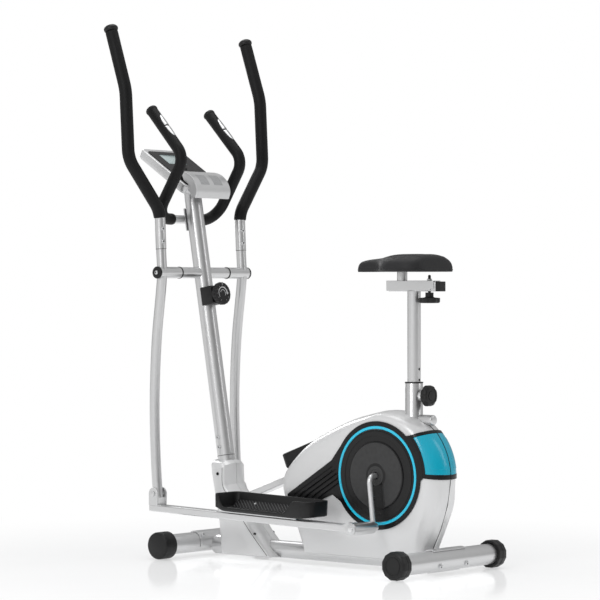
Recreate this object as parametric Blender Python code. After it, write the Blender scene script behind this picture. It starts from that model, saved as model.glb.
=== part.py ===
"""Elliptical trainer with a bike seat, modelled as separate pieces.

Metres, +Z up, the machine's front (console end) towards -X, the user's left towards -Y.
Shapes are laid out in the machine's own frame and hung under one empty that puts the
world origin on the floor, under the middle of the machine.
"""
import math

import bmesh
import bpy
from mathutils import Matrix, Vector

GAP = 0.0003             # clearance between pieces that touch
ORIGIN_X = -0.0801       # moves the machine so that its box is centred on the origin
LEFT = -1                # sign of Y on the user's left
RIGHT = 1
SIDES = {LEFT: "left", RIGHT: "right"}

# Base
STAB_Z = 0.040           # height of both cross tubes
STAB_R = 0.0295
FRONT_STAB_X = -0.273
FRONT_STAB_HALF = 0.231  # to the outer face of a cap
REAR_STAB_X = 0.606
REAR_STAB_HALF = 0.240
CAP_R = 0.040
CAP_BACK = 0.0025        # thickness of a cap's closed end
FRONT_CAP_LENGTH = 0.047
REAR_CAP_LENGTH = 0.038
SADDLE_HALF = 0.073
BEAM_Z = 0.032
BEAM_R = 0.025
BEAM_X = (-0.055, 0.575)
FOOT_R = 0.0285
FOOT_X = (-0.243, -0.030)
WALL = 0.002

# Front post: a leaning tube, given by one point and the lean from the vertical
POST_X = -0.208
POST_Z = 0.2972
POST_LEAN = math.radians(9.79)
POST_R = 0.0255
POST_TOP_Z = 1.085
SPIGOT_TOP_Z = 0.372
COVER_TOP_Z = 0.285
COVER_HALF = 0.0475

# Swinging arms
PIVOT_X = -0.301
PIVOT_Z = 0.839
AXLE_R = 0.0165
AXLE_END_R = 0.0105
SLEEVE_R = 0.017
SLEEVE_Y = (0.107, 0.1955)
ARM_Y = 0.178
ARM_R = 0.0147
HANDLE_R = 0.0156
JOINT_Z = 0.9078
GRIP_R = 0.0186
GRIP_START_Z = 0.9995
KNEE_X = -0.3186         # pin between an arm and its pedal rail
KNEE_Z = 0.188

# Crank and pedal rails
CRANK_X = 0.415
CRANK_Z = 0.268
CRANK_R = 0.142
CRANK_ANGLE = math.radians(6.0)    # left pin, rearward of straight down
CRANK_Y = 0.0995
CRANK_BAR_R = 0.0078
RAIL_REACH = 0.7511      # from the knee pin to the crank pin, along the rail
RAIL_DROP = 0.042        # rail centre line below the knee pin
RAIL_W = 0.040
RAIL_H = 0.020
PIN_SLEEVE_Y = (0.1078, 0.200)
PIN_SLEEVE_R = 0.0172
PEDAL_Y = (0.1098, 0.2150)
PEDAL_LOCAL_X = (0.2500, 0.6060)   # measured from the knee pin, along the rail

# Drive
HOUSING_HALF = 0.062
SHELL = 0.003
DISC_R = 0.1310
RING_R = 0.1376
TRIM_R = 0.1520
PULLEY_R = 0.108
PULLEY_Y = (0.0300, 0.0400)
SMALL_PULLEY_R = 0.0195
FLYWHEEL_X = 0.190
FLYWHEEL_Z = 0.235
FLYWHEEL_R = 0.095

# Seat
SEAT_POST_X = 0.496
SEAT_POST_R = 0.0188
SEAT_SLEEVE_R = 0.0248
SEAT_SLEEVE_TOP = 0.527
SEAT_RAIL_X = (0.415, 0.595)
SEAT_RAIL_Z = (0.7835, 0.8110)
SEAT_RAIL_HALF = 0.0140
SADDLE_Z = (0.8385, 0.8890)

# Console: front top edge and slope of its face
CONSOLE_X = -0.472
CONSOLE_Z = 1.215
CONSOLE_SLOPE = math.radians(32.7)
CONSOLE_HALF = 0.090
CONSOLE_THICK = 0.030
CONSOLE_LENGTH = 0.222


# ---------------------------------------------------------------- scene helpers

def clear_scene():
    for obj in list(bpy.data.objects):
        bpy.data.objects.remove(obj, do_unlink=True)


def make_material(name, color, roughness, metallic=0.0):
    material = bpy.data.materials.new(name)
    material.use_nodes = True
    shader = material.node_tree.nodes["Principled BSDF"]
    shader.inputs["Base Color"].default_value = (*color, 1.0)
    shader.inputs["Roughness"].default_value = roughness
    shader.inputs["Metallic"].default_value = metallic
    return material


def make_empty(name, location, parent, rotation=(0, 0, 0)):
    empty = bpy.data.objects.new(name, None)
    empty.location = location
    empty.rotation_euler = rotation
    empty.parent = parent
    bpy.context.scene.collection.objects.link(empty)
    bpy.context.view_layer.update()
    return empty


def make_object(name, shape, material, pivot, local=False):
    """Make a closed mesh. Its points are in the machine's frame, or in the pivot's if local."""
    verts, faces = shape
    mesh = bpy.data.meshes.new(name)
    mesh.from_pydata([tuple(v) for v in verts], [], faces)
    work = bmesh.new()
    work.from_mesh(mesh)
    bmesh.ops.recalc_face_normals(work, faces=work.faces)
    work.to_mesh(mesh)
    work.free()
    mesh.shade_smooth()
    mesh.set_sharp_from_angle(angle=math.radians(35))
    if material:
        mesh.materials.append(material)
    obj = bpy.data.objects.new(name, mesh)
    bpy.context.scene.collection.objects.link(obj)
    obj.parent = pivot
    if not local:
        obj.matrix_parent_inverse = pivot.matrix_world.inverted() @ machine.matrix_world
    bpy.context.view_layer.update()
    return obj


def combine(target, shapes, operation, pivot, local=False):
    """Join shapes to the target, or cut them out of it, with Boolean modifiers."""
    for number, shape in enumerate(shapes):
        tool = make_object(f"{target.name}_{operation.lower()}_{number}", shape, None, pivot, local)
        tool.hide_render = True
        tool.display_type = "WIRE"
        step = target.modifiers.new(tool.name, "BOOLEAN")
        step.operation = operation
        step.object = tool
        step.solver = "EXACT"


def bevel(obj, width, segments=2):
    edge = obj.modifiers.new("edge", "BEVEL")
    edge.width = width
    edge.segments = segments
    edge.limit_method = "ANGLE"
    edge.angle_limit = math.radians(40)


# ---------------------------------------------------------------- shape helpers

def rounded(points, radii, steps=4):
    """Turn a bent line into a path, with an arc of the given radius at each inner corner."""
    points = [Vector(p) for p in points]
    path = [points[0]]
    for before, corner, after, radius in zip(points, points[1:], points[2:], radii):
        back = (before - corner).normalized()
        ahead = (after - corner).normalized()
        half = back.angle(ahead) / 2
        reach = radius / math.tan(half)
        centre = corner + (back + ahead).normalized() * radius / math.sin(half)
        start = corner + back * reach - centre
        end = corner + ahead * reach - centre
        for step in range(steps + 1):
            path.append(centre + start.slerp(end, step / steps).normalized() * radius)
    path.append(points[-1])
    return path


def frames(path):
    """A position and two cross directions for each point of a path, without twist."""
    tangents = []
    for i in range(len(path)):
        a = path[max(i - 1, 0)]
        b = path[min(i + 1, len(path) - 1)]
        tangents.append((b - a).normalized())
    side = tangents[0].orthogonal().normalized()
    result = []
    for point, tangent in zip(path, tangents):
        side = (side - tangent * side.dot(tangent)).normalized()
        result.append((point, side, tangent.cross(side)))
    return result


def stitch(rings, closed_ends=True, loop=False):
    """Skin a list of rings that have the same number of points."""
    count = len(rings[0])
    verts = [p for ring in rings for p in ring]
    faces = []
    pairs = len(rings) if loop else len(rings) - 1
    for k in range(pairs):
        base = k * count
        after = ((k + 1) % len(rings)) * count
        for i in range(count):
            j = (i + 1) % count
            faces.append((base + i, base + j, after + j, after + i))
    if closed_ends and not loop:
        faces.append(tuple(reversed(range(count))))
        faces.append(tuple(range((len(rings) - 1) * count, len(rings) * count)))
    return verts, faces


def tube(path, radius, sides=12, bore=0.0):
    """A rod along a path, or a pipe when it has a bore."""
    path = [Vector(p) for p in path]

    def rings(r):
        made = []
        for point, a, b in frames(path):
            angles = [2 * math.pi * (i + 0.5) / sides for i in range(sides)]
            made.append([point + (a * math.cos(t) + b * math.sin(t)) * r for t in angles])
        return made

    if not bore:
        return stitch(rings(radius))
    return stitch(rings(radius) + rings(bore)[::-1], loop=True)


def turned(profile, start, direction, sides=24, ring=False, phase=0.5):
    """Turn a profile of (radius, distance) about an axis. A ring's profile is a closed loop."""
    start = Vector(start)
    axis = Vector(direction).normalized()
    helper = Vector((0, 0, 1)) if abs(axis.z) < 0.9 else Vector((1, 0, 0))
    a = axis.cross(helper).normalized()
    b = axis.cross(a)
    rings = []
    for radius, distance in profile:
        angles = [2 * math.pi * (i + phase) / sides for i in range(sides)]
        rings.append([start + axis * distance + (a * math.cos(t) + b * math.sin(t)) * radius
                      for t in angles])
    return stitch(rings, loop=ring)


def plate(outline, low_y, high_y):
    """An XZ outline given thickness along Y."""
    return stitch([[Vector((x, y, z)) for x, z in outline] for y in (low_y, high_y)])


def block(low, high):
    (x0, y0, z0), (x1, y1, z1) = low, high
    return plate([(x0, z0), (x1, z0), (x1, z1), (x0, z1)], min(y0, y1), max(y0, y1))


def arc(centre, radius, start, end, steps):
    """Points on a circle in XZ, angles in degrees from +X towards +Z."""
    points = []
    for i in range(steps + 1):
        t = math.radians(start + (end - start) * i / steps)
        points.append((centre[0] + radius * math.cos(t), centre[1] + radius * math.sin(t)))
    return points


def inset_outline(outline, depth):
    """Move each point of a closed outline inwards by about depth."""
    area = sum(a[0] * b[1] - b[0] * a[1] for a, b in zip(outline, outline[1:] + outline[:1]))
    turn = 1 if area > 0 else -1
    moved = []
    for i, (x, z) in enumerate(outline):
        before = Vector(outline[i - 1])
        after = Vector(outline[(i + 1) % len(outline)])
        along = (after - before).normalized()
        moved.append((x - along.y * depth * turn, z + along.x * depth * turn))
    return moved


def around(radius, sides):
    """Radius of a faceted hole that clears a rod of the given radius."""
    return (radius + GAP) / math.cos(math.pi / sides)


def post_point(z, rear=0.0):
    """A point of the leaning post's axis at height z, moved towards its rear side."""
    x = POST_X - (z - POST_Z) * math.tan(POST_LEAN)
    return Vector((x + rear * math.cos(POST_LEAN), 0, z + rear * math.sin(POST_LEAN)))


# ---------------------------------------------------------------- base

def saddle_shape(x, first, last):
    """A curved plate that hugs a cross tube, between two angles about it."""
    inner = around(STAB_R, 18)
    ring = arc((x, STAB_Z), inner + 0.003, first, last, 8) + arc((x, STAB_Z), inner, last, first, 8)
    return plate(ring, -SADDLE_HALF, SADDLE_HALF)


def build_base():
    for name, x, half, cap in (("front", FRONT_STAB_X, FRONT_STAB_HALF, FRONT_CAP_LENGTH),
                               ("rear", REAR_STAB_X, REAR_STAB_HALF, REAR_CAP_LENGTH)):
        end = half - CAP_BACK - GAP
        path = [(x, -end, STAB_Z), (x, end, STAB_Z)]
        make_object(f"{name}_stabilizer", tube(path, STAB_R, 20, STAB_R - WALL), STEEL, machine)
        sides = 24 if name == "front" else 12
        outer = CAP_R / math.cos(math.pi / sides)
        chamfer = 0.005
        bore = around(STAB_R, sides)
        profile = [(0, cap - CAP_BACK), (bore, cap - CAP_BACK), (bore, 0), (outer - 0.002, 0),
                   (outer, 0.002), (outer, cap - chamfer), (outer - chamfer, cap), (0, cap)]
        for side, word in SIDES.items():
            start = (x, side * (half - cap), STAB_Z)
            shape = lathe_solid(profile, start, (0, side, 0), sides)
            make_object(f"{name}_cap_{word}", shape, BLACK, machine)

    length = BEAM_X[1] - BEAM_X[0]
    profile = [(BEAM_R, 0), (BEAM_R, length), (BEAM_R - WALL, length), (BEAM_R - WALL, 0)]
    pipe = turned(profile, (BEAM_X[0], 0, BEAM_Z), (1, 0, 0), 20, ring=True)
    beam = make_object("base_frame", pipe, STEEL, machine)
    sleeve = tube([(SEAT_POST_X, 0, BEAM_Z + BEAM_R - 0.004), (SEAT_POST_X, 0, SEAT_SLEEVE_TOP)],
                  SEAT_SLEEVE_R, 20, SEAT_SLEEVE_R - WALL)
    shell = tube([(CRANK_X, -0.024, CRANK_Z), (CRANK_X, 0.024, CRANK_Z)], 0.0225, 20, 0.0180)
    strut = block((CRANK_X - 0.010, -0.012, BEAM_Z + BEAM_R - 0.004),
                  (CRANK_X + 0.010, 0.012, CRANK_Z - 0.0205))
    brace = block((CRANK_X + 0.0186, -0.010, CRANK_Z - 0.012),
                  (SEAT_POST_X - SEAT_SLEEVE_R + 0.0012, 0.010, CRANK_Z + 0.012))
    stub_z = 0.4245
    stub = turned([(0.015, 0), (0.015, 0.044), (0.011, 0.0475), (0.0, 0.0485)],
                  (SEAT_POST_X + SEAT_SLEEVE_R - 0.0012, 0, stub_z), (1, 0, 0), 16)
    x0, x1 = FLYWHEEL_X - 0.018, FLYWHEEL_X + 0.018
    low, shelf, top = 0.0555, 0.083, FLYWHEEL_Z + 0.016
    section = [(-0.0100, low), (0.0100, low), (0.0100, shelf), (0.0460, shelf), (0.0460, top), (0.0430, top),
               (0.0430, shelf + 0.0040), (-0.0300, shelf + 0.0040), (-0.0300, top), (-0.0330, top),
               (-0.0330, shelf), (-0.0100, shelf)]
    fork = stitch([[Vector((x, y, z)) for y, z in section] for x in (x0, x1)])
    combine(beam, [sleeve, shell, strut, brace, stub, fork, saddle_shape(REAR_STAB_X, 60, 205)],
            "UNION", machine)
    axle_hole = tube([(FLYWHEEL_X, -0.05, FLYWHEEL_Z), (FLYWHEEL_X, 0.05, FLYWHEEL_Z)], 0.0053, 12)
    combine(beam, [axle_hole], "DIFFERENCE", machine)


def lathe_solid(profile, start, direction, sides):
    """Turn a cup-shaped profile whose first and last points lie on the axis."""
    start = Vector(start)
    axis = Vector(direction).normalized()
    a = axis.orthogonal().normalized() if abs(axis.y) < 0.9 else Vector((0, 0, 1))
    b = axis.cross(a)
    verts = [start + axis * profile[0][1]]
    for radius, distance in profile[1:-1]:
        for i in range(sides):
            t = 2 * math.pi * (i + 0.5) / sides
            verts.append(start + axis * distance + (a * math.cos(t) + b * math.sin(t)) * radius)
    verts.append(start + axis * profile[-1][1])
    faces = []
    for i in range(sides):
        j = (i + 1) % sides
        faces.append((0, 1 + i, 1 + j))
        for k in range(len(profile) - 3):
            base = 1 + k * sides
            faces.append((base + i, base + j, base + sides + j, base + sides + i))
        base = 1 + (len(profile) - 3) * sides
        faces.append((base + i, base + j, len(verts) - 1))
    return verts, faces


def build_front_foot():
    length = FOOT_X[1] - FOOT_X[0]
    profile = [(FOOT_R, 0), (FOOT_R, length), (BEAM_R + 0.0008, length), (BEAM_R + 0.0008, 0)]
    sleeve = turned(profile, (FOOT_X[0], 0, BEAM_Z), (1, 0, 0), 20, ring=True)
    foot = make_object("front_foot", sleeve, STEEL, machine)
    axis = (-math.sin(POST_LEAN), 0, math.cos(POST_LEAN))
    start = post_point(0.053)
    joint = (POST_Z - 0.053) / math.cos(POST_LEAN) - GAP
    top = (SPIGOT_TOP_Z - 0.053) / math.cos(POST_LEAN)
    stem = turned([(POST_R, 0), (POST_R, joint), (0.0230, joint), (0.0230, top), (0.0210, top), (0.0210, 0)],
                  start, axis, 20, ring=True)
    gusset = plate([(-0.150, 0.054), (-0.060, 0.054), (-0.060, 0.062), (-0.150, 0.150)], -0.002, 0.002)
    combine(foot, [stem, gusset, saddle_shape(FRONT_STAB_X, -25, 110)], "UNION", machine)


def cover_outline():
    """Side view of the cover around the foot of the post."""
    return [(-0.1960, 0.0310), (-0.2070, 0.1000), (-0.2330, 0.250), (-0.2390, 0.276), (-0.2340, COVER_TOP_Z),
            (-0.180, COVER_TOP_Z), (-0.168, 0.276), (-0.1650, 0.215), (-0.1100, 0.1500), (-0.0520, 0.0840),
            (0.0080, 0.0310)]


def build_post_cover():
    outer = cover_outline()
    inner = [(-0.1780, 0.0450), (-0.1850, 0.1000), (-0.2190, 0.245), (-0.2180, 0.262), (-0.2110, 0.270),
             (-0.1880, 0.270), (-0.1815, 0.262), (-0.1790, 0.210), (-0.1230, 0.1400), (-0.0700, 0.0750),
             (-0.0260, 0.0450)]
    levels = [(math.radians(t)) for t in (0, 50, 90)]

    def half_solid(a, b, side, depth, start):
        rings = []
        for t in levels:
            share = 1 - math.cos(t)
            y = start + (depth - start) * math.sin(t)
            rings.append([Vector((p[0] + (q[0] - p[0]) * share, side * y, p[1] + (q[1] - p[1]) * share))
                          for p, q in zip(a, b)])
        return stitch(rings)

    wall = 0.0025
    for side, word in SIDES.items():
        cover = make_object(f"post_cover_{word}", half_solid(outer, inner, side, COVER_HALF, GAP), PLASTIC, machine)
        cavity = half_solid(inset_outline(outer, wall), inset_outline(inner, wall), side, COVER_HALF - wall, -0.004)
        hole = tube([post_point(0.2), post_point(0.34)], around(POST_R, 20), 20)
        wide, narrow = around(FOOT_R, 20), around(BEAM_R, 20)
        profile = [(wide, -0.3), (wide, FOOT_X[1] + GAP), (narrow, FOOT_X[1] + GAP), (narrow, 0.1)]
        beam = turned(profile, (0, 0, BEAM_Z), (1, 0, 0), 20)
        combine(cover, [cavity, hole, beam], "DIFFERENCE", machine)


# ---------------------------------------------------------------- post and console

def build_post():
    axis = Vector((-math.sin(POST_LEAN), 0, math.cos(POST_LEAN)))
    top = post_point(POST_TOP_Z)
    post = make_object("front_post", tube([post_point(POST_Z), top], POST_R, 24, POST_R - WALL), STEEL, machine)
    through = tube([(PIVOT_X, -0.05, PIVOT_Z), (PIVOT_X, 0.05, PIVOT_Z)], around(AXLE_R, 20), 20)
    combine(post, [through], "DIFFERENCE", machine)

    inner = SLEEVE_Y[0] - 0.0035
    outer = SLEEVE_Y[1]
    cap = outer + 0.0005
    half = [(AXLE_R, inner), (AXLE_END_R, inner), (AXLE_END_R, cap), (0.0178, cap), (0.0178, cap + 0.0030),
            (0.0150, cap + 0.0052), (0.0, cap + 0.0056)]
    profile = [(r, -y) for r, y in half[::-1]] + half
    make_object("pivot_axle", lathe_solid(profile, (PIVOT_X, 0, PIVOT_Z), (0, 1, 0), 20), STEEL, machine)

    box_z = 0.7665
    depth = POST_R + 0.0235
    corner = post_point(box_z)
    face = Vector((math.cos(POST_LEAN), 0, math.sin(POST_LEAN)))
    outline = [corner + face * a + axis * b for a, b in ((0.0, -0.028), (depth, -0.028), (depth, 0.028), (0.0, 0.028))]
    shape = plate([(p.x, p.z) for p in outline], -0.0275, 0.0275)
    box = make_object("tension_box", shape, BLACK, machine)
    combine(box, [tube([post_point(0.70), post_point(0.84)], around(POST_R, 24), 24)], "DIFFERENCE", machine)
    dial_at = corner + face * (depth + GAP)
    dial = make_empty("tension_dial_axis", dial_at, machine)
    profile = [(0.0270, 0), (0.0270, 0.006), (0.0340, 0.008), (0.0345, 0.018), (0.0320, 0.0225), (0.0270, 0.0225),
               (0.0260, 0.0212), (0.0, 0.0212)]
    make_object("tension_dial", turned(profile, dial_at, face, 24), BLACK, dial)


def build_console():
    frame = make_empty("console_frame", (CONSOLE_X, 0, CONSOLE_Z), machine, (0, CONSOLE_SLOPE, 0))
    half = CONSOLE_HALF
    case = make_object("console_case", block((0, -half, -CONSOLE_THICK), (CONSOLE_LENGTH, half, 0)),
                       SILVER, frame, local=True)
    bevel(case, 0.006)
    socket = tube([post_point(1.0), post_point(POST_TOP_Z + 0.0005)], around(POST_R, 24), 24)
    combine(case, [socket], "DIFFERENCE", machine)
    panel_x = (0.020, 0.214)
    screen_x = (0.036, 0.094)
    button_x = 0.1135
    panel = make_object("console_panel", block((panel_x[0], -0.080, GAP), (panel_x[1], 0.080, 0.0026)),
                        GLOSS_BLACK, frame, local=True)
    window = block((screen_x[0], -0.052, -0.01), (screen_x[1], 0.052, 0.01))
    button_hole = turned([(0.0093, -0.01), (0.0093, 0.01)], (button_x, 0, 0), (0, 0, 1), 20)
    combine(panel, [window, button_hole], "DIFFERENCE", frame, local=True)
    screen = block((screen_x[0] + GAP, -0.052 + GAP, GAP), (screen_x[1] - GAP, 0.052 - GAP, 0.0018))
    make_object("console_display", screen, SCREEN, frame, local=True)
    profile = [(0.0090, 0.0020), (0.0090, 0.0042), (0.0078, 0.0050), (0.0, 0.0050)]
    shape = turned([(0, 0.0020)] + profile, (button_x, 0, 0), (0, 0, 1), 20)
    make_object("console_button", lathe_solid([(0, 0.0020)] + profile, (button_x, 0, 0), (0, 0, 1), 20),
                SILVER, frame, local=True)

    top = [(-0.3450, 1.1425), (-0.325, 1.1425), (-0.306, 1.1390), (-0.288, 1.1310), (-0.2700, 1.115),
           (-0.2590, 1.095), (-0.2575, 1.078), (-0.2640, 1.0605)]
    under = inset_outline(top + [(-0.300, 1.070)], 0.004)[:len(top)]
    under[0] = (-0.3450, 1.1372)
    lip = make_object("console_lip", plate(top + under[::-1], -0.076, 0.076), SILVER, machine)
    return lip


def pulse_path(side, inner_y=0.0):
    points = [(-0.3700, side * inner_y, 1.000), (-0.3700, side * 0.133, 1.000), (-0.2560, side * 0.131, 1.178),
              (-0.3926, side * 0.1276, 1.325)]
    return rounded(points, (0.060, 0.050), 5)


def build_pulse_bar():
    steel_r = 0.0125
    foam_r = 0.0172
    left = pulse_path(LEFT, 0.01)
    right = pulse_path(RIGHT, 0.01)
    path = [p for p in reversed(left)] + right
    trimmed = [path[0].lerp(path[1], 0.10)] + path[1:-1] + [path[-1].lerp(path[-2], 0.10)]
    bar = make_object("pulse_bar", tube(trimmed, steel_r, 12, steel_r - WALL), STEEL, machine)
    front = -(POST_R + GAP)
    axis = Vector((-math.sin(POST_LEAN), 0, math.cos(POST_LEAN)))
    face = Vector((math.cos(POST_LEAN), 0, math.sin(POST_LEAN)))
    centre = post_point(1.004)
    corners = [centre + face * a + axis * b for a, b in
               ((front - 0.004, -0.034), (front, -0.034), (front, 0.034), (front - 0.004, 0.034))]
    combine(bar, [plate([(p.x, p.z) for p in corners], -0.017, 0.017)], "UNION", machine)
    for side, word in SIDES.items():
        path = pulse_path(side, 0.058)
        shape = tube(path, foam_r, 12, around(steel_r, 12))
        make_object(f"pulse_grip_{word}", shape, FOAM, machine)


# ---------------------------------------------------------------- swinging arms

def arm_path():
    return [(-0.3052, JOINT_Z - GAP), (-0.3028, 0.870), (-0.3010, PIVOT_Z), (-0.3041, 0.800), (-0.3120, 0.735),
            (-0.3207, 0.664), (-0.3268, 0.585), (-0.3305, 0.500), (-0.3313, 0.430), (-0.3295, 0.350),
            (-0.3245, 0.255), (KNEE_X, KNEE_Z), (-0.3179, 0.1765)]


def build_arm(side, word):
    pivot = make_empty(f"arm_{word}_pivot", (PIVOT_X, side * ARM_Y, PIVOT_Z), machine)
    path = [(x, side * ARM_Y, z) for x, z in arm_path()]
    arm = make_object(f"lower_arm_{word}", tube(path, ARM_R, 12, ARM_R - WALL), STEEL, pivot)
    sleeve = tube([(PIVOT_X, side * SLEEVE_Y[0], PIVOT_Z), (PIVOT_X, side * SLEEVE_Y[1], PIVOT_Z)], SLEEVE_R, 20)
    combine(arm, [sleeve], "UNION", pivot)
    bore = tube([(PIVOT_X, 0, PIVOT_Z), (PIVOT_X, side * 0.25, PIVOT_Z)], AXLE_END_R + 0.0004, 20)
    pin_hole = tube([(KNEE_X, side * 0.12, KNEE_Z), (KNEE_X, side * 0.24, KNEE_Z)], 0.0049, 16)
    combine(arm, [bore, pin_hole], "DIFFERENCE", pivot)

    points = [(-0.3052, side * ARM_Y, JOINT_Z), (-0.3105, side * ARM_Y, 1.0200), (-0.3225, side * 0.2985, 1.1700),
              (-0.3335, side * 0.2990, 1.3720), (-0.3985, side * 0.2982, 1.5660)]
    path = rounded(points, (0.075, 0.080, 0.160), 5)
    axis_end = path[-1].lerp(path[-2], 0.06)
    make_object(f"handle_{word}", tube(path[:-1] + [axis_end], HANDLE_R, 12, HANDLE_R - WALL), STEEL, pivot)

    first = next(i for i, point in enumerate(path) if point.z > GRIP_START_Z + 0.001)
    below, above = path[first - 1], path[first]
    grip_path = [below.lerp(above, (GRIP_START_Z - below.z) / (above.z - below.z))] + path[first:]
    make_object(f"handle_grip_{word}", tube(grip_path, GRIP_R, 12, around(HANDLE_R, 12)), FOAM, pivot)
    return pivot


# ---------------------------------------------------------------- crank and rails

def crank_pin(side):
    """Centre of a crank pin in XZ. The right pin is opposite the left one."""
    sign = -side
    return (CRANK_X + sign * CRANK_R * math.sin(CRANK_ANGLE), CRANK_Z - sign * CRANK_R * math.cos(CRANK_ANGLE))


def build_crank():
    axis = make_empty("crank_axis", (CRANK_X, 0, CRANK_Z), machine)
    half = 0.0620
    profile = [(0.0078, -half), (0.0078, -0.0245), (0.0095, -0.0245), (0.0095, 0.0245), (0.0078, 0.0245), (0.0078, half)]
    make_object("crank_axle", turned(profile, (CRANK_X, 0, CRANK_Z), (0, 1, 0), 16), STEEL, axis)
    for side, word in SIDES.items():
        ring = [(0.0098, 0), (0.0176, 0), (0.0176, 0.010), (0.0098, 0.010)]
        start = (CRANK_X, side * 0.0130, CRANK_Z)
        make_object(f"crank_bearing_{word}", turned(ring, start, (0, side, 0), 20, ring=True), STEEL, machine)

        pin_x, pin_z = crank_pin(side)
        start_y = half + GAP
        bar = rounded([(CRANK_X, side * start_y, CRANK_Z), (CRANK_X, side * CRANK_Y, CRANK_Z),
                       (pin_x, side * CRANK_Y, pin_z)], (0.012,), 4)
        arm = make_object(f"crank_arm_{word}", tube(bar, CRANK_BAR_R, 12), CHROME, axis)
        boss = turned([(0.0125, -0.0079), (0.0125, 0.0079)], (pin_x, side * CRANK_Y, pin_z), (0, side, 0), 16)
        combine(arm, [boss], "UNION", axis)

        face = HOUSING_HALF + GAP
        profile = [(0.0140, 0.0), (DISC_R, 0.0), (DISC_R, 0.0046), (0.0950, 0.0052), (0.0940, 0.0078), (0.0340, 0.0078),
                   (0.0325, 0.0098), (0.0140, 0.0098)]
        shape = turned(profile, (CRANK_X, side * face, CRANK_Z), (0, side, 0), 48, ring=True)
        disc = make_object(f"crank_disc_{word}", shape, BLACK, axis)
        reach = Vector((pin_x - CRANK_X, pin_z - CRANK_Z)).normalized()
        across = Vector((-reach.y, reach.x))
        outline = [Vector((CRANK_X, CRANK_Z)) + reach * a + across * b for a, b in
                   ((0.0, -0.021), (0.118, -0.021), (0.118, 0.021), (0.0, 0.021))]
        floor = face + 0.0026
        combine(disc, [plate([(p.x, p.y) for p in outline], side * floor, side * (floor + 0.02))], "DIFFERENCE", axis)

    middle = sum(PULLEY_Y) / 2
    width = PULLEY_Y[1] - PULLEY_Y[0]
    profile = [(0.0082, -width / 2), (PULLEY_R, -width / 2), (PULLEY_R, width / 2), (0.0082, width / 2)]
    make_object("drive_pulley", turned(profile, (CRANK_X, middle, CRANK_Z), (0, 1, 0), 32, ring=True), BLACK, axis)


def build_drive():
    axis = make_empty("flywheel_axis", (FLYWHEEL_X, 0, FLYWHEEL_Z), machine)
    middle = sum(PULLEY_Y) / 2
    small = SMALL_PULLEY_R
    profile = [(0.0060, -0.0270), (0.0200, -0.0270), (0.0200, -0.0200), (FLYWHEEL_R, -0.0200), (FLYWHEEL_R, 0.0100),
               (0.0200, 0.0100), (0.0200, 0.0250), (small, 0.0300), (small, 0.0400), (0.0120, 0.0400), (0.0060, 0.0400)]
    shape = turned(profile, (FLYWHEEL_X, 0, FLYWHEEL_Z), (0, 1, 0), 32, ring=True)
    make_object("flywheel", shape, IRON, axis)
    shape = tube([(FLYWHEEL_X, -0.0400, FLYWHEEL_Z), (FLYWHEEL_X, 0.0520, FLYWHEEL_Z)], 0.0050, 12)
    make_object("flywheel_axle", shape, STEEL, machine)

    slope = math.degrees(math.atan2(CRANK_Z - FLYWHEEL_Z, CRANK_X - FLYWHEEL_X))
    distance = math.hypot(CRANK_X - FLYWHEEL_X, CRANK_Z - FLYWHEEL_Z)
    wrap = math.degrees(math.asin((PULLEY_R - small) / distance))

    def belt_line(offset):
        big = arc((CRANK_X, CRANK_Z), PULLEY_R + offset, slope - 90 - wrap, slope + 90 + wrap, 24)
        little = arc((FLYWHEEL_X, FLYWHEEL_Z), small + offset, slope + 90 + wrap, slope + 270 - wrap, 10)
        return big + little

    low, high = PULLEY_Y[0] + 0.0006, PULLEY_Y[1] - 0.0006
    rings = [[Vector((x, y, z)) for x, z in belt_line(offset)]
             for offset, y in ((0.0005, low), (0.0028, low), (0.0028, high), (0.0005, high))]
    make_object("drive_belt", stitch(rings, loop=True), RUBBER, machine)

    hinge = make_empty("magnet_axis", (0.100, 0, 0.120), machine)
    reach = 0.0035
    arc_out = arc((FLYWHEEL_X, FLYWHEEL_Z), FLYWHEEL_R + reach + 0.006, 165, 225, 8)
    arc_in = arc((FLYWHEEL_X, FLYWHEEL_Z), FLYWHEEL_R + reach, 225, 165, 8)
    make_object("magnet_brake", plate(arc_out + arc_in, -0.018, 0.008), IRON, hinge)


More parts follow.
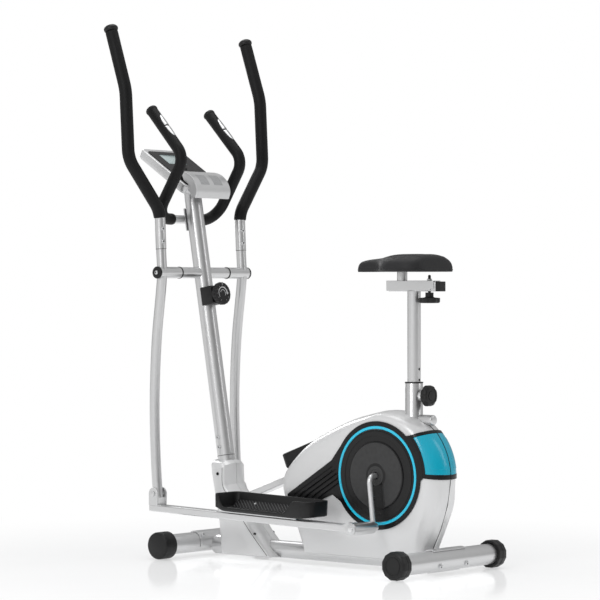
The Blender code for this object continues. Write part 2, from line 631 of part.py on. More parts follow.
def build_rail(side, word, arm_pivot):
    pin_x, pin_z = crank_pin(side)
    aim = math.atan2(pin_z - KNEE_Z, pin_x - KNEE_X)
    tilt = aim + math.atan2(RAIL_DROP, RAIL_REACH)
    knee = make_empty(f"rail_{word}_pivot", (KNEE_X - PIVOT_X, 0, KNEE_Z - PIVOT_Z), arm_pivot, (0, -tilt, 0))

    top = -RAIL_DROP + RAIL_H / 2
    bottom = -RAIL_DROP - RAIL_H / 2
    half = RAIL_W / 2
    rail_end = RAIL_REACH - PIN_SLEEVE_R - 0.004
    rail = make_object(f"pedal_rail_{word}", block((-0.017, -half, bottom), (rail_end, half, top)),
                       STEEL, knee, local=True)
    inner = ARM_R + 0.0012
    ears = []
    for sign in (-1, 1):
        outline = [(0.018, top - 0.002), (0.018, 0.0)] + arc((0, 0), 0.018, 20, 160, 6)
        outline += [(-0.0168, 0.0), (-0.0168, top - 0.002)]
        ears.append(plate(outline, sign * inner, sign * (inner + 0.0045)))
    floor = block((-0.0165, -inner - 0.002, top - 0.002), (0.0178, inner + 0.002, top + 0.0020))
    y0 = side * (PIN_SLEEVE_Y[0] - ARM_Y)
    y1 = side * (PIN_SLEEVE_Y[1] - ARM_Y)
    sleeve = tube([(RAIL_REACH, y0, -RAIL_DROP), (RAIL_REACH, y1, -RAIL_DROP)], PIN_SLEEVE_R, 20)
    strap_top = -RAIL_DROP + PIN_SLEEVE_R - 0.0012
    straps = [block((rail_end - 0.022, -half + 0.001, -RAIL_DROP - sign * (PIN_SLEEVE_R - 0.0012)),
                    (RAIL_REACH + 0.001, half - 0.001, -RAIL_DROP - sign * (PIN_SLEEVE_R + 0.0022))) for sign in (-1, 1)]
    heel = block((rail_end - 0.0225, -half + 0.001, -RAIL_DROP - PIN_SLEEVE_R), (rail_end + 0.006, half - 0.001, strap_top))
    ear = inner + 0.0045
    profile = [(0, -ear - 0.004), (0.0075, -ear - 0.004), (0.0075, -ear + 0.001), (0.0046, -ear + 0.001),
               (0.0046, ear - 0.001), (0.0075, ear - 0.001), (0.0075, ear + 0.004), (0, ear + 0.004)]
    knee_pin = lathe_solid(profile, (0, 0, 0), (0, 1, 0), 16)
    combine(rail, [*ears, floor, heel, *straps, sleeve, knee_pin], "UNION", knee, local=True)
    bore = tube([(RAIL_REACH, -0.2, -RAIL_DROP), (RAIL_REACH, 0.2, -RAIL_DROP)], 0.0112, 20)
    hollow = block((-0.030, -half + WALL, bottom + WALL), (rail_end - 0.030, half - WALL, top - 0.0032))
    combine(rail, [bore, hollow], "DIFFERENCE", knee, local=True)

    length = PIN_SLEEVE_Y[1] - PIN_SLEEVE_Y[0]
    profile = [(0.0108, 0.0), (0.0108, length + 0.0005), (0.0150, length + 0.0005), (0.0150, length + 0.0030), (0.0, length + 0.0034)]
    shape = lathe_solid([(0, 0)] + profile, (RAIL_REACH, y0, -RAIL_DROP), (0, side, 0), 20)
    make_object(f"crank_pin_{word}", shape, CHROME, knee, local=True)

    x0, x1 = PEDAL_LOCAL_X
    y_in = side * (PEDAL_Y[0] - ARM_Y)
    y_out = side * (PEDAL_Y[1] - ARM_Y)
    base = top + 0.0045
    corner = 0.026

    def tray(grow, low, high):
        a, b = x0 + grow, x1 - grow
        p, q = sorted((y_in, y_out))
        p, q = p + grow, q - grow
        r = corner - grow
        ring = []
        for cx, cy, first in ((b - r, q - r, 0), (a + r, q - r, 90), (a + r, p + r, 180), (b - r, p + r, 270)):
            for t in (first, first + 30, first + 60, first + 90):
                ring.append((cx + r * math.cos(math.radians(t)), cy + r * math.sin(math.radians(t))))
        return stitch([[Vector((x, y, z)) for x, y in ring] for z in (low, high)])

    pedal = make_object(f"pedal_{word}", tray(0.0, base, base + 0.0500), RUBBER, knee, local=True)
    foot = block((x0 + 0.050, -0.015, top + GAP), (x1 - 0.050, 0.015, base + 0.003))
    combine(pedal, [foot], "UNION", knee, local=True)
    hollow = tray(0.006, base + 0.009, base + 0.1)
    mouth = block((x0 + 0.045, (y_in + y_out) / 2, base + 0.0155), (x1 - 0.075, y_out + side * 0.02, base + 0.1))
    combine(pedal, [hollow, mouth], "DIFFERENCE", knee, local=True)


# ---------------------------------------------------------------- housing

SEAM_CENTRE = (0.435, 0.263)
SEAM_R = 0.187
FLAT_R = 0.158
SHELL_LEVELS = (0, 34.4, 57, 75, 90)


def housing_rings(side, depth, wall):
    """Rings of the casing's half, from its centre seam to its flat side."""
    seam = arc(SEAM_CENTRE, SEAM_R, 104, -4, 14)
    seam += [(0.612, 0.190), (0.590, 0.125), (0.566, 0.075), (0.546, 0.030), (0.118, 0.030), (0.103, 0.075),
             (0.087, 0.125), (0.052, 0.185), (0.0445, 0.240), (0.0585, 0.281), (0.125, 0.343), (0.205, 0.385), (0.300, 0.423)]
    flat = arc((CRANK_X, CRANK_Z), FLAT_R, 104, -4, 14)
    flat += [(0.563, 0.205), (0.545, 0.155), (0.520, 0.120), (0.500, 0.112), (0.150, 0.112), (0.128, 0.125),
             (0.110, 0.145), (0.083, 0.180), (0.079, 0.206), (0.095, 0.234), (0.160, 0.292), (0.235, 0.340), (0.312, 0.385)]
    skirt = [(0.609, 0.190), (0.584, 0.125), (0.562, 0.075), (0.544, 0.031), (0.127, 0.031), (0.113, 0.075),
             (0.099, 0.119), (0.066, 0.185)]
    rings = []
    for level, along in zip(SHELL_LEVELS, (0.0, 0.0, 0.40, 0.72, 1.0)):
        t = math.radians(level)
        outline = [Vector(a).lerp(Vector(b), 1 - math.cos(t)) for a, b in zip(seam, flat)]
        if level:
            outline[15:23] = [Vector(a).lerp(Vector(b), along) for a, b in zip(skirt, flat[15:23])]
        outline = inset_outline([tuple(p) for p in outline], wall) if wall else outline
        y = GAP + (depth - GAP) * math.sin(t)
        if wall and not level:
            y = -0.004
        rings.append([Vector((p[0], side * y, p[1])) for p in outline])
    return stitch(rings)


def shell_point(angle, level, side, lift):
    """A point of the casing's round rear, at an angle in the side view and a level from the seam."""
    t = math.radians(level)
    a = math.radians(angle)
    seam = Vector(SEAM_CENTRE) + Vector((math.cos(a), math.sin(a))) * (SEAM_R + lift)
    flat = Vector((CRANK_X, CRANK_Z)) + Vector((math.cos(a), math.sin(a))) * (FLAT_R + lift)
    point = seam.lerp(flat, 1 - math.cos(t))
    return Vector((point.x, side * (GAP + (HOUSING_HALF + lift - GAP) * math.sin(t)), point.y))


def build_housing():
    for side, word in SIDES.items():
        shell = make_object(f"housing_{word}", housing_rings(side, HOUSING_HALF, 0), PLASTIC, machine)
        cavity = housing_rings(side, HOUSING_HALF - SHELL, SHELL)
        beam_cut = tube([(-0.1, 0, BEAM_Z), (0.8, 0, BEAM_Z)], around(BEAM_R, 20), 20)
        sleeve_cut = tube([(SEAT_POST_X, 0, 0.36), (SEAT_POST_X, 0, 0.5)], around(SEAT_SLEEVE_R, 20), 20)
        stub_cut = tube([(SEAT_POST_X, 0, 0.4245), (SEAT_POST_X + 0.12, 0, 0.4245)], around(0.015, 16), 16)
        axle_cut = tube([(CRANK_X, -0.1, CRANK_Z), (CRANK_X, 0.1, CRANK_Z)], 0.0150, 20)
        combine(shell, [cavity, beam_cut, sleeve_cut, stub_cut, axle_cut], "DIFFERENCE", machine)

        accent = []
        for lift, order in ((0.0028, 1), (GAP + 0.0003, -1)):
            strip = []
            for i in range(7):
                points = [shell_point(4.0 + 38.0 * i / 6, level, side, lift) for level in SHELL_LEVELS]
                points[-1] = points[-2].lerp(points[-1], 0.93)
                strip.append(points)
            accent.append(strip)
        make_object(f"rear_accent_{word}", slab(*accent), CYAN, machine)

        trim_y = HOUSING_HALF + GAP
        ring = arc((CRANK_X, CRANK_Z), TRIM_R, -40, 148, 22)
        band = [(0.250, 0.3035), (0.0880, 0.2010), (0.0900, 0.1850), (0.118, 0.150), (0.2540, 0.2070)]
        outline = ring + band + arc((CRANK_X, CRANK_Z), TRIM_R, 212, 320, 12)[:-1]
        trim = make_object(f"side_trim_{word}", plate(outline, side * trim_y, side * (trim_y + 0.0035)), GLOSS_BLACK, machine)
        hole = tube([(CRANK_X, side * 0.03, CRANK_Z), (CRANK_X, side * 0.09, CRANK_Z)], around(RING_R, 48), 48)
        grooves = []
        lean = Vector((math.cos(math.radians(31.4)), math.sin(math.radians(31.4))))
        across = Vector((-lean.y, lean.x))
        for k in range(4):
            start = Vector((0.118, 0.1975)) + across * (-0.0165 * k) + lean * (0.008 * k)
            corners = [start, start + lean * 0.150, start + lean * 0.150 - across * 0.0075, start - across * 0.0075]
            grooves.append(plate([(p.x, p.y) for p in corners], side * (trim_y + 0.0012), side * (trim_y + 0.02)))
        combine(trim, [hole, *grooves], "DIFFERENCE", machine)
        profile = [(DISC_R + 0.0012, 0), (RING_R, 0), (RING_R, 0.0042), (DISC_R + 0.0012, 0.0042)]
        shape = turned(profile, (CRANK_X, side * trim_y, CRANK_Z), (0, side, 0), 48, ring=True)
        make_object(f"accent_ring_{word}", shape, CYAN, machine)


def slab(outer, inner):
    """A curved plate between two grids of points of the same size."""
    rows, columns = len(outer), len(outer[0])
    verts = [p for grid in (outer, inner) for row in grid for p in row]
    offset = rows * columns
    faces = []
    for k in range(rows - 1):
        for i in range(columns - 1):
            a = k * columns + i
            faces.append((a, a + 1, a + columns + 1, a + columns))
            faces.append((offset + a, offset + a + columns, offset + a + columns + 1, offset + a + 1))
    rim = [i for i in range(columns)]
    rim += [k * columns + columns - 1 for k in range(1, rows)]
    rim += [(rows - 1) * columns + i for i in range(columns - 2, -1, -1)]
    rim += [k * columns for k in range(rows - 2, 0, -1)]
    for a, b in zip(rim, rim[1:] + rim[:1]):
        faces.append((a, b, offset + b, offset + a))
    return verts, faces


# ---------------------------------------------------------------- seat

def build_seat():
    height = make_empty("seat_height_axis", (SEAT_POST_X, 0, SEAT_SLEEVE_TOP), machine)
    low, high = SEAT_RAIL_Z
    post = make_object("seat_post", tube([(SEAT_POST_X, 0, 0.170), (SEAT_POST_X, 0, low + 0.001)], SEAT_POST_R, 20,
                                         SEAT_POST_R - WALL), STEEL, height)
    half = SEAT_RAIL_HALF
    rail = block((SEAT_RAIL_X[0], -half, low), (SEAT_RAIL_X[1], half, high))
    combine(post, [rail], "UNION", height)
    holes = [tube([(SEAT_POST_X, 0, z), (SEAT_POST_X + 0.03, 0, z)], 0.0040, 12)
             for z in [0.5662 - 0.0305 * k for k in range(6)]]
    clamp_x = 0.550
    slot = tube([(clamp_x, 0, low - 0.01), (clamp_x, 0, high + 0.01)], 0.0045, 12)
    combine(post, [*holes, slot], "DIFFERENCE", height)

    collar = [(SEAT_SLEEVE_R - WALL - 0.001, 0), (SEAT_SLEEVE_R + 0.0012, 0), (SEAT_SLEEVE_R + 0.0012, 0.0030),
              (SEAT_POST_R + 0.0006, 0.0030), (SEAT_POST_R + 0.0006, 0)]
    make_object("sleeve_collar", turned(collar, (SEAT_POST_X, 0, SEAT_SLEEVE_TOP + GAP), (0, 0, 1), 20, ring=True),
                BLACK, machine)

    slide = make_empty("seat_slide_axis", (0, 0, 0), height)
    wall = 0.0024
    outer = half + GAP + wall
    channel = make_object("seat_carriage", block((0.410, -outer, low + 0.0015), (0.576, outer, high + GAP + wall)),
                          STEEL, slide)
    inside = block((0.3, -half - GAP, low - 0.01), (0.7, half + GAP, high + GAP))
    slot = block((0.514, -0.0048, high - 0.002), (0.5735, 0.0048, high + 0.02))
    combine(channel, [inside, slot], "DIFFERENCE", slide)
    stub = turned([(0.0130, 0), (0.0130, SADDLE_Z[0] - GAP - high - wall)], (0.454, 0, high + wall), (0, 0, 1), 16)
    combine(channel, [stub], "UNION", slide)

    sections = [(0.3030, 0.006, 0.012), (0.3075, 0.0165, 0.024), (0.3200, 0.0230, 0.0315), (0.3600, 0.0290, 0.0345),
                (0.4000, 0.0420, 0.0380), (0.4250, 0.0680, 0.0440), (0.4550, 0.0920, 0.0490), (0.5000, 0.1040, 0.0500),
                (0.5350, 0.1020, 0.0500), (0.5600, 0.0860, 0.0400), (0.5720, 0.0600, 0.0180)]
    rings = []
    for x, wide, tall in sections:
        ring = [Vector((x, wide * math.cos(math.radians(t)), SADDLE_Z[0] + tall * math.sin(math.radians(t)) ** 0.7))
                for t in (0, 15, 35, 60, 90, 120, 145, 165, 180)]
        rings.append([Vector((p.x, p.y, max(p.z, SADDLE_Z[0]))) for p in ring])
    make_object("saddle", stitch(rings), RUBBER, slide)

    clamp = make_empty("seat_clamp_axis", (clamp_x, 0, low), height)
    profile = [(0, 0.0030), (0.0115, 0.0030), (0.0115, 0.0165), (0.0300, 0.0180), (0.0285, 0.0320), (0.0, 0.0330)]
    knob = make_object("seat_clamp_knob", lathe_solid(profile, (clamp_x, 0, low), (0, 0, -1), 20), BLACK, clamp)
    shank = turned([(0.0040, 0), (0.0040, 0.0490), (0.0020, 0.0510)], (clamp_x, 0, low - 0.005), (0, 0, 1), 12)
    combine(knob, [shank], "UNION", clamp)

    pull = make_empty("height_knob_axis", (SEAT_POST_X + SEAT_SLEEVE_R, 0, 0.4925), machine)
    start = (SEAT_POST_X + SEAT_SLEEVE_R + GAP, 0, 0.4925)
    profile = [(0, 0.0), (0.0105, 0.0), (0.0105, 0.0150), (0.0290, 0.0175), (0.0300, 0.0270), (0.0270, 0.0370), (0.0, 0.0390)]
    make_object("height_knob", lathe_solid(profile, start, (1, 0, 0), 20), BLACK, pull)


# ---------------------------------------------------------------- assembly

clear_scene()
STEEL = make_material("silver_paint", (0.62, 0.63, 0.65), 0.32, 0.6)
SILVER = make_material("silver_plastic", (0.70, 0.71, 0.73), 0.35, 0.3)
CHROME = make_material("chrome", (0.80, 0.81, 0.83), 0.12, 1.0)
IRON = make_material("iron", (0.20, 0.20, 0.21), 0.50, 0.9)
PLASTIC = make_material("white_plastic", (0.82, 0.83, 0.84), 0.28)
BLACK = make_material("black_plastic", (0.030, 0.030, 0.032), 0.55)
GLOSS_BLACK = make_material("gloss_black", (0.015, 0.015, 0.017), 0.25)
FOAM = make_material("foam", (0.020, 0.020, 0.021), 0.85)
RUBBER = make_material("rubber", (0.028, 0.028, 0.029), 0.65)
CYAN = make_material("cyan_plastic", (0.02, 0.48, 0.70), 0.25)
SCREEN = make_material("screen", (0.42, 0.55, 0.55), 0.15)

machine = make_empty("machine", (ORIGIN_X, 0, 0), None)
build_base()
build_front_foot()
build_post_cover()
build_post()
build_console()
build_pulse_bar()
build_crank()
build_drive()
build_housing()
for side_sign, side_word in SIDES.items():
    arm_empty = build_arm(side_sign, side_word)
    build_rail(side_sign, side_word, arm_empty)
build_seat()
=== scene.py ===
"""Looks for the elliptical trainer: finer shapes, materials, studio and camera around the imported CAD."""
import math

import bmesh
import bpy
from mathutils import Matrix, Vector


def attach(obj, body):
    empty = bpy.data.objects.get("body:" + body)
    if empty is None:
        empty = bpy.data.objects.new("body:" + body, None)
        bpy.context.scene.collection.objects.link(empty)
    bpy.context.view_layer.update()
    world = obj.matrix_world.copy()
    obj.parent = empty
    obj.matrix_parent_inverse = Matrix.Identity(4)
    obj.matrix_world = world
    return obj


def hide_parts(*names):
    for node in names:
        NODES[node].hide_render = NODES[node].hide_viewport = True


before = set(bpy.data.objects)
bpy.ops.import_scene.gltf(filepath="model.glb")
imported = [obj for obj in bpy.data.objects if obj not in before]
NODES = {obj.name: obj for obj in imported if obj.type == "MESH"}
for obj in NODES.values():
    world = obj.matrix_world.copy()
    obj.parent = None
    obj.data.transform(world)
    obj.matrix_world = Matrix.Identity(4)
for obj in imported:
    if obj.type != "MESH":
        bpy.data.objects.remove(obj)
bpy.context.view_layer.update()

OX = -0.0801             # added to x, from the machine's own frame to the world
GAP = 0.0003
LEFT, RIGHT = -1, 1
SIDES = {LEFT: "left", RIGHT: "right"}
STAB_Z, STAB_R = 0.040, 0.0295
FRONT_STAB_X, FRONT_STAB_HALF = -0.273, 0.231
REAR_STAB_X, REAR_STAB_HALF = 0.606, 0.240
BEAM_Z, BEAM_R = 0.032, 0.025
POST_X, POST_Z, POST_LEAN, POST_R = -0.208, 0.2972, math.radians(9.79), 0.0255
POST_TOP_Z, COVER_TOP_Z = 1.085, 0.285
PIVOT_X, PIVOT_Z, AXLE_R, AXLE_END_R = -0.301, 0.839, 0.0165, 0.0105
SLEEVE_R, SLEEVE_Y = 0.017, (0.107, 0.1955)
ARM_Y, ARM_R, HANDLE_R, GRIP_R = 0.178, 0.0147, 0.0156, 0.0186
JOINT_Z, GRIP_START_Z = 0.9078, 0.9995
KNEE_X, KNEE_Z = -0.3186, 0.188
CRANK_X, CRANK_Z, CRANK_R, CRANK_ANGLE, CRANK_Y = 0.415, 0.268, 0.142, math.radians(6.0), 0.0995
RAIL_REACH, RAIL_DROP, RAIL_W, RAIL_H = 0.7511, 0.042, 0.040, 0.020
PIN_SLEEVE_Y, PIN_SLEEVE_R = (0.1078, 0.200), 0.0172
PEDAL_Y, PEDAL_X = (0.1098, 0.2150), (0.2500, 0.6060)
HOUSING_HALF, DISC_R, RING_R, TRIM_R = 0.062, 0.1310, 0.1376, 0.1520
SEAM_CENTRE, SEAM_R, FLAT_R = (0.435, 0.263), 0.187, 0.158
SEAT_X, SEAT_POST_R, SEAT_SLEEVE_R, SEAT_SLEEVE_TOP = 0.496, 0.0188, 0.0248, 0.527
SEAT_RAIL_X, SEAT_RAIL_Z, SEAT_RAIL_HALF = (0.415, 0.595), (0.7835, 0.8110), 0.0140
SADDLE_Z = 0.8385
CONSOLE_X, CONSOLE_Z, CONSOLE_SLOPE = -0.472, 1.215, math.radians(32.7)
TINY = 1e-5              # the radius that stands for a point on the axis of a turned shape
MERGE = 1e-6             # points closer than this become one
CLEAR = 0.0006           # room round what passes through a hole
ROUND = 128              # sides of the discs and rings at the crank
KNOB_SIDES = 96
HOLES, HOLE_TOP_Z, HOLE_STEP = 6, 0.5662, 0.0305
HEIGHT_KNOB_Z, CLAMP_X, STUB_Z = 0.4925, 0.550, 0.4245

# ---------------------------------------------------------------- materials

def new_node(tree, kind, values=None):
    """A new node with some of its inputs set."""
    node = tree.nodes.new(kind)
    for socket, value in (values or {}).items():
        node.inputs[socket].default_value = value
    return node


def material(name, color, rough, metallic=0.0, vary=0.04, scale=35.0, bump=0.0, bump_scale=600.0,
             coat=0.0, coat_rough=0.1, kind="noise", rough_vary=0.06, specular=None):
    """A surface with procedural colour, roughness and relief."""
    mat = bpy.data.materials.new(name)
    mat.use_nodes = True
    tree = mat.node_tree
    join = tree.links.new
    shader = tree.nodes["Principled BSDF"]
    shader.inputs["Metallic"].default_value = metallic
    shader.inputs["Coat Weight"].default_value = coat
    shader.inputs["Coat Roughness"].default_value = coat_rough
    if specular is not None:
        shader.inputs["Specular IOR Level"].default_value = specular
    place = tree.nodes.new("ShaderNodeTexCoord")
    noise = new_node(tree, "ShaderNodeTexNoise", {"Scale": scale, "Detail": 6.0})
    join(place.outputs["Object"], noise.inputs["Vector"])
    ramp = tree.nodes.new("ShaderNodeValToRGB")
    low, high = ramp.color_ramp.elements
    low.position, high.position = 0.30, 0.70
    low.color = (*[max(c * (1 - vary), 0) for c in color], 1)
    high.color = (*[min(c * (1 + vary), 1) for c in color], 1)
    join(noise.outputs["Fac"], ramp.inputs["Fac"])
    join(ramp.outputs["Color"], shader.inputs["Base Color"])
    spread = new_node(tree, "ShaderNodeMapRange", {"From Min": 0.3, "From Max": 0.7,
                                                   "To Min": max(rough - rough_vary, 0.02),
                                                   "To Max": min(rough + rough_vary, 1.0)})
    join(noise.outputs["Fac"], spread.inputs["Value"])
    join(spread.outputs["Result"], shader.inputs["Roughness"])
    if bump:
        if kind == "cells":
            grain = new_node(tree, "ShaderNodeTexVoronoi", {"Scale": bump_scale})
            height = grain.outputs["Distance"]
        else:
            detail = 3.0 if bump_scale > 400 else 0.0
            grain = new_node(tree, "ShaderNodeTexNoise", {"Scale": bump_scale, "Detail": detail})
            height = grain.outputs["Fac"]
        join(place.outputs["Object"], grain.inputs["Vector"])
        relief = new_node(tree, "ShaderNodeBump", {"Strength": bump, "Distance": 0.0002})
        join(height, relief.inputs["Height"])
        join(relief.outputs["Normal"], shader.inputs["Normal"])
    return mat


STEEL = material("silver_paint", (0.63, 0.632, 0.635), 0.31, 0.90, vary=0.012, scale=60, bump=0.02,
                 bump_scale=45, coat=0.12, coat_rough=0.22, rough_vary=0.015)
CHROME = material("chrome", (0.60, 0.605, 0.61), 0.31, 0.95, vary=0.02, scale=90, rough_vary=0.02)
BRIGHT = material("satin_silver", (0.74, 0.745, 0.75), 0.31, 0.85, vary=0.02, scale=70, rough_vary=0.02)
IRON = material("iron", (0.20, 0.20, 0.21), 0.5, 0.9, vary=0.15, scale=50, bump=0.2, bump_scale=500)
SILVER = material("silver_plastic", (0.60, 0.603, 0.607), 0.32, 0.45, vary=0.012, scale=80, bump=0.02,
                  bump_scale=45, coat=0.25, coat_rough=0.18, rough_vary=0.015)
WHITE = material("white_plastic", (0.71, 0.712, 0.715), 0.32, 0.20, vary=0.006, scale=9, bump=0.015,
                 bump_scale=40, coat=0.4, coat_rough=0.12, rough_vary=0.008)
BLACK = material("black_plastic", (0.0075, 0.0075, 0.0078), 0.42, vary=0.20, scale=120, bump=0.25,
                 bump_scale=1500, specular=0.32)
GLOSS = material("gloss_black", (0.005, 0.005, 0.0055), 0.30, vary=0.15, scale=60, bump=0.05,
                 bump_scale=900, specular=0.28)
DISC = material("disc_plastic", (0.038, 0.038, 0.0385), 0.42, vary=0.12, scale=90, bump=0.20,
                bump_scale=1700, specular=0.30)
TREAD = material("tread_plastic", (0.0095, 0.0095, 0.0098), 0.42, vary=0.18, scale=110, bump=0.30,
                 bump_scale=1300, specular=0.30)
SLAT = material("slat_plastic", (0.085, 0.085, 0.088), 0.38, vary=0.12, scale=110, bump=0.12,
                bump_scale=1300)
FOAM = material("foam", (0.0050, 0.0050, 0.0053), 0.50, vary=0.22, scale=260, bump=0.9, bump_scale=900,
                kind="cells", specular=0.20)
VINYL = material("saddle_vinyl", (0.016, 0.016, 0.0170), 0.56, vary=0.15, scale=120, bump=0.45,
                 bump_scale=900, kind="cells", specular=0.30)
RUBBER = material("belt_rubber", (0.025, 0.025, 0.026), 0.7, vary=0.2, scale=120, bump=0.3, bump_scale=900)
CYAN = material("cyan_plastic", (0.001, 0.390, 0.545), 0.24, vary=0.05, scale=14, bump=0.03,
                bump_scale=1500, coat=0.3, coat_rough=0.08, rough_vary=0.04, specular=0.35)
RING = material("cyan_ring", (0.010, 0.560, 0.800), 0.28, vary=0.04, scale=30, bump=0.03, bump_scale=1500,
                coat=0.4, coat_rough=0.10)
SCREEN = material("screen", (0.47, 0.57, 0.57), 0.16, vary=0.03, scale=12, coat=0.5, coat_rough=0.05)
GRILLE = material("grille", (0.38, 0.385, 0.39), 0.45, 0.3, vary=0.35, scale=900, bump=0.9, bump_scale=420,
                  kind="cells")


# ---------------------------------------------------------------- shape helpers

def new_object(name, shape, merge=False):
    """An object in the world from a shape in the machine's frame, with its normals outwards."""
    verts, faces = shape
    mesh = bpy.data.meshes.new(name)
    mesh.from_pydata([(v[0] + OX, v[1], v[2]) for v in verts], [], faces)
    work = bmesh.new()
    work.from_mesh(mesh)
    if merge:
        bmesh.ops.remove_doubles(work, verts=work.verts, dist=MERGE)
    bmesh.ops.recalc_face_normals(work, faces=work.faces)
    work.to_mesh(mesh)
    work.free()
    made = bpy.data.objects.new(name, mesh)
    bpy.context.scene.collection.objects.link(made)
    return made


def soften_edges(piece, width, segments, angle):
    """Round the sharp edges of a piece."""
    edge = piece.modifiers.new("edge", "BEVEL")
    edge.width = width
    edge.segments = segments
    edge.limit_method = "ANGLE"
    edge.angle_limit = math.radians(angle)
    edge.harden_normals = False


def add(name, shape, mat, body, hides=(), smooth=40, bevel=0.0, at=None):
    """Make a piece from points in the machine's frame (or placed by a matrix) and ride it on a body."""
    if at is not None:
        shape = placed(shape, at)
    piece = new_object(name, shape, merge=True)
    piece.data.shade_smooth()
    piece.data.set_sharp_from_angle(angle=math.radians(smooth))
    piece.data.materials.append(mat)
    if bevel:
        soften_edges(piece, bevel, 3, 32)
    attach(piece, body)
    if hides:
        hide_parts(*hides)
    return piece


def placed(shape, matrix):
    """A shape moved by a matrix."""
    return [matrix @ Vector(v) for v in shape[0]], shape[1]


def cut(piece, shapes):
    """Cut closed shapes out of a piece and keep only the result."""
    tools = []
    for k, shape in enumerate(shapes):
        tool = new_object(f"{piece.name}_cut{k}", shape)
        step = piece.modifiers.new(f"cut{k}", "BOOLEAN")
        step.operation = "DIFFERENCE"
        step.solver = "EXACT"
        step.object = tool
        tools.append(tool)
    bpy.context.view_layer.update()
    graph = bpy.context.evaluated_depsgraph_get()
    result = bpy.data.meshes.new_from_object(piece.evaluated_get(graph))
    piece.modifiers.clear()
    piece.data = result
    result.shade_smooth()
    result.set_sharp_from_angle(angle=math.radians(35))
    for tool in tools:
        bpy.data.objects.remove(tool, do_unlink=True)
    return piece


def rounded(points, radii, steps=10):
    """A path through points whose corners are arcs of the given radii."""
    points = [Vector(p) for p in points]
    path = [points[0]]
    for before, corner, after, radius in zip(points, points[1:], points[2:], radii):
        back = (before - corner).normalized()
        ahead = (after - corner).normalized()
        half = back.angle(ahead) / 2
        centre = corner + (back + ahead).normalized() * radius / math.sin(half)
        reach = radius / math.tan(half)
        start = corner + back * reach - centre
        end = corner + ahead * reach - centre
        path += [centre + start.slerp(end, k / steps).normalized() * radius for k in range(steps + 1)]
    path.append(points[-1])
    return path


def between(a, b, c, d, t):
    """The point at share t from b to c on a smooth curve through four points."""
    return (b * 2 + (c - a) * t + (a * 2 - b * 5 + c * 4 - d) * t * t
            + (b * 3 - a - c * 3 + d) * t * t * t) * 0.5


def spline(points, steps=6):
    """A smooth open curve through points."""
    points = [Vector(p) for p in points]
    ends = [points[0] * 2 - points[1]] + points + [points[-1] * 2 - points[-2]]
    path = []
    for four in zip(ends, ends[1:], ends[2:], ends[3:]):
        path += [between(*four, k / steps) for k in range(steps)]
    path.append(points[-1])
    return path


def frames(path):
    """Each point of a path with two directions across it that don't twist."""
    tangents = [(path[min(i + 1, len(path) - 1)] - path[max(i - 1, 0)]).normalized()
                for i in range(len(path))]
    side = tangents[0].orthogonal().normalized()
    out = []
    for point, tangent in zip(path, tangents):
        side = (side - tangent * side.dot(tangent)).normalized()
        out.append((point, side, tangent.cross(side)))
    return out


def stitch(rings, loop=False):
    """Join rings of points, with a face over each end unless the last ring joins the first."""
    count = len(rings[0])
    verts = [p for ring in rings for p in ring]
    faces = []
    for k in range(len(rings) if loop else len(rings) - 1):
        a, b = k * count, ((k + 1) % len(rings)) * count
        faces += [(a + i, a + (i + 1) % count, b + (i + 1) % count, b + i) for i in range(count)]
    if not loop:
        faces.append(tuple(reversed(range(count))))
        faces.append(tuple(range((len(rings) - 1) * count, len(rings) * count)))
    return verts, faces


def tube(path, radius, sides=32, radii=None):
    """A filled round bar along a path, scaled at each point by radii."""
    path = [Vector(p) for p in path]
    turns = [2 * math.pi * i / sides for i in range(sides)]
    rings = []
    for k, (point, a, b) in enumerate(frames(path)):
        s = radii[k] if radii else 1.0
        rings.append([point + (a * math.cos(t) + b * math.sin(t)) * radius * s for t in turns])
    return stitch(rings)


def turned(profile, start, direction, sides=48, ring=False):
    """A profile of radius and distance turned round an axis, filled unless it is a ring."""
    start = Vector(start)
    axis = Vector(direction).normalized()
    helper = Vector((0, 0, 1)) if abs(axis.z) < 0.9 else Vector((1, 0, 0))
    a = axis.cross(helper).normalized()
    b = axis.cross(a)
    rings = [[start + axis * d + (a * math.cos(t) + b * math.sin(t)) * max(r, TINY)
              for t in [2 * math.pi * (i + 0.5) / sides for i in range(sides)]] for r, d in profile]
    return stitch(rings, loop=ring)


def soften(profile, radius, closed=False):
    """Round the corners of a flat profile."""
    steps = 4
    points = [Vector((p[0], p[1])) for p in profile]
    out = []
    count = len(points)
    for i, corner in enumerate(points):
        if not closed and i in (0, count - 1):
            out.append(tuple(corner))
            continue
        before, after = points[i - 1], points[(i + 1) % count]
        r = min(radius, (before - corner).length * 0.45, (after - corner).length * 0.45)
        p = corner + (before - corner).normalized() * r
        q = corner + (after - corner).normalized() * r
        for k in range(steps + 1):
            t = k / steps
            out.append(tuple(p * (1 - t) ** 2 + corner * 2 * t * (1 - t) + q * t * t))
    return out


def plate(outline, low_y, high_y):
    """A flat outline in x and z, as thick as the two y values say."""
    return stitch([[Vector((x, y, z)) for x, z in outline] for y in (low_y, high_y)])


def block(low, high):
    """A box between two corners."""
    (x0, y0, z0), (x1, y1, z1) = low, high
    return plate([(x0, z0), (x1, z0), (x1, z1), (x0, z1)], min(y0, y1), max(y0, y1))


def pair(side, near, far):
    """The two y values of a plate on one side of the machine, the lower one first."""
    return sorted((side * near, side * far))


def flat_points(points):
    """The first two coordinates of each point."""
    return [(p.x, p.y) for p in points]


def arc(centre, radius, start, end, steps):
    """Points on a flat arc, with its angles in degrees."""
    angles = [math.radians(start + (end - start) * i / steps) for i in range(steps + 1)]
    return [(centre[0] + radius * math.cos(a), centre[1] + radius * math.sin(a)) for a in angles]


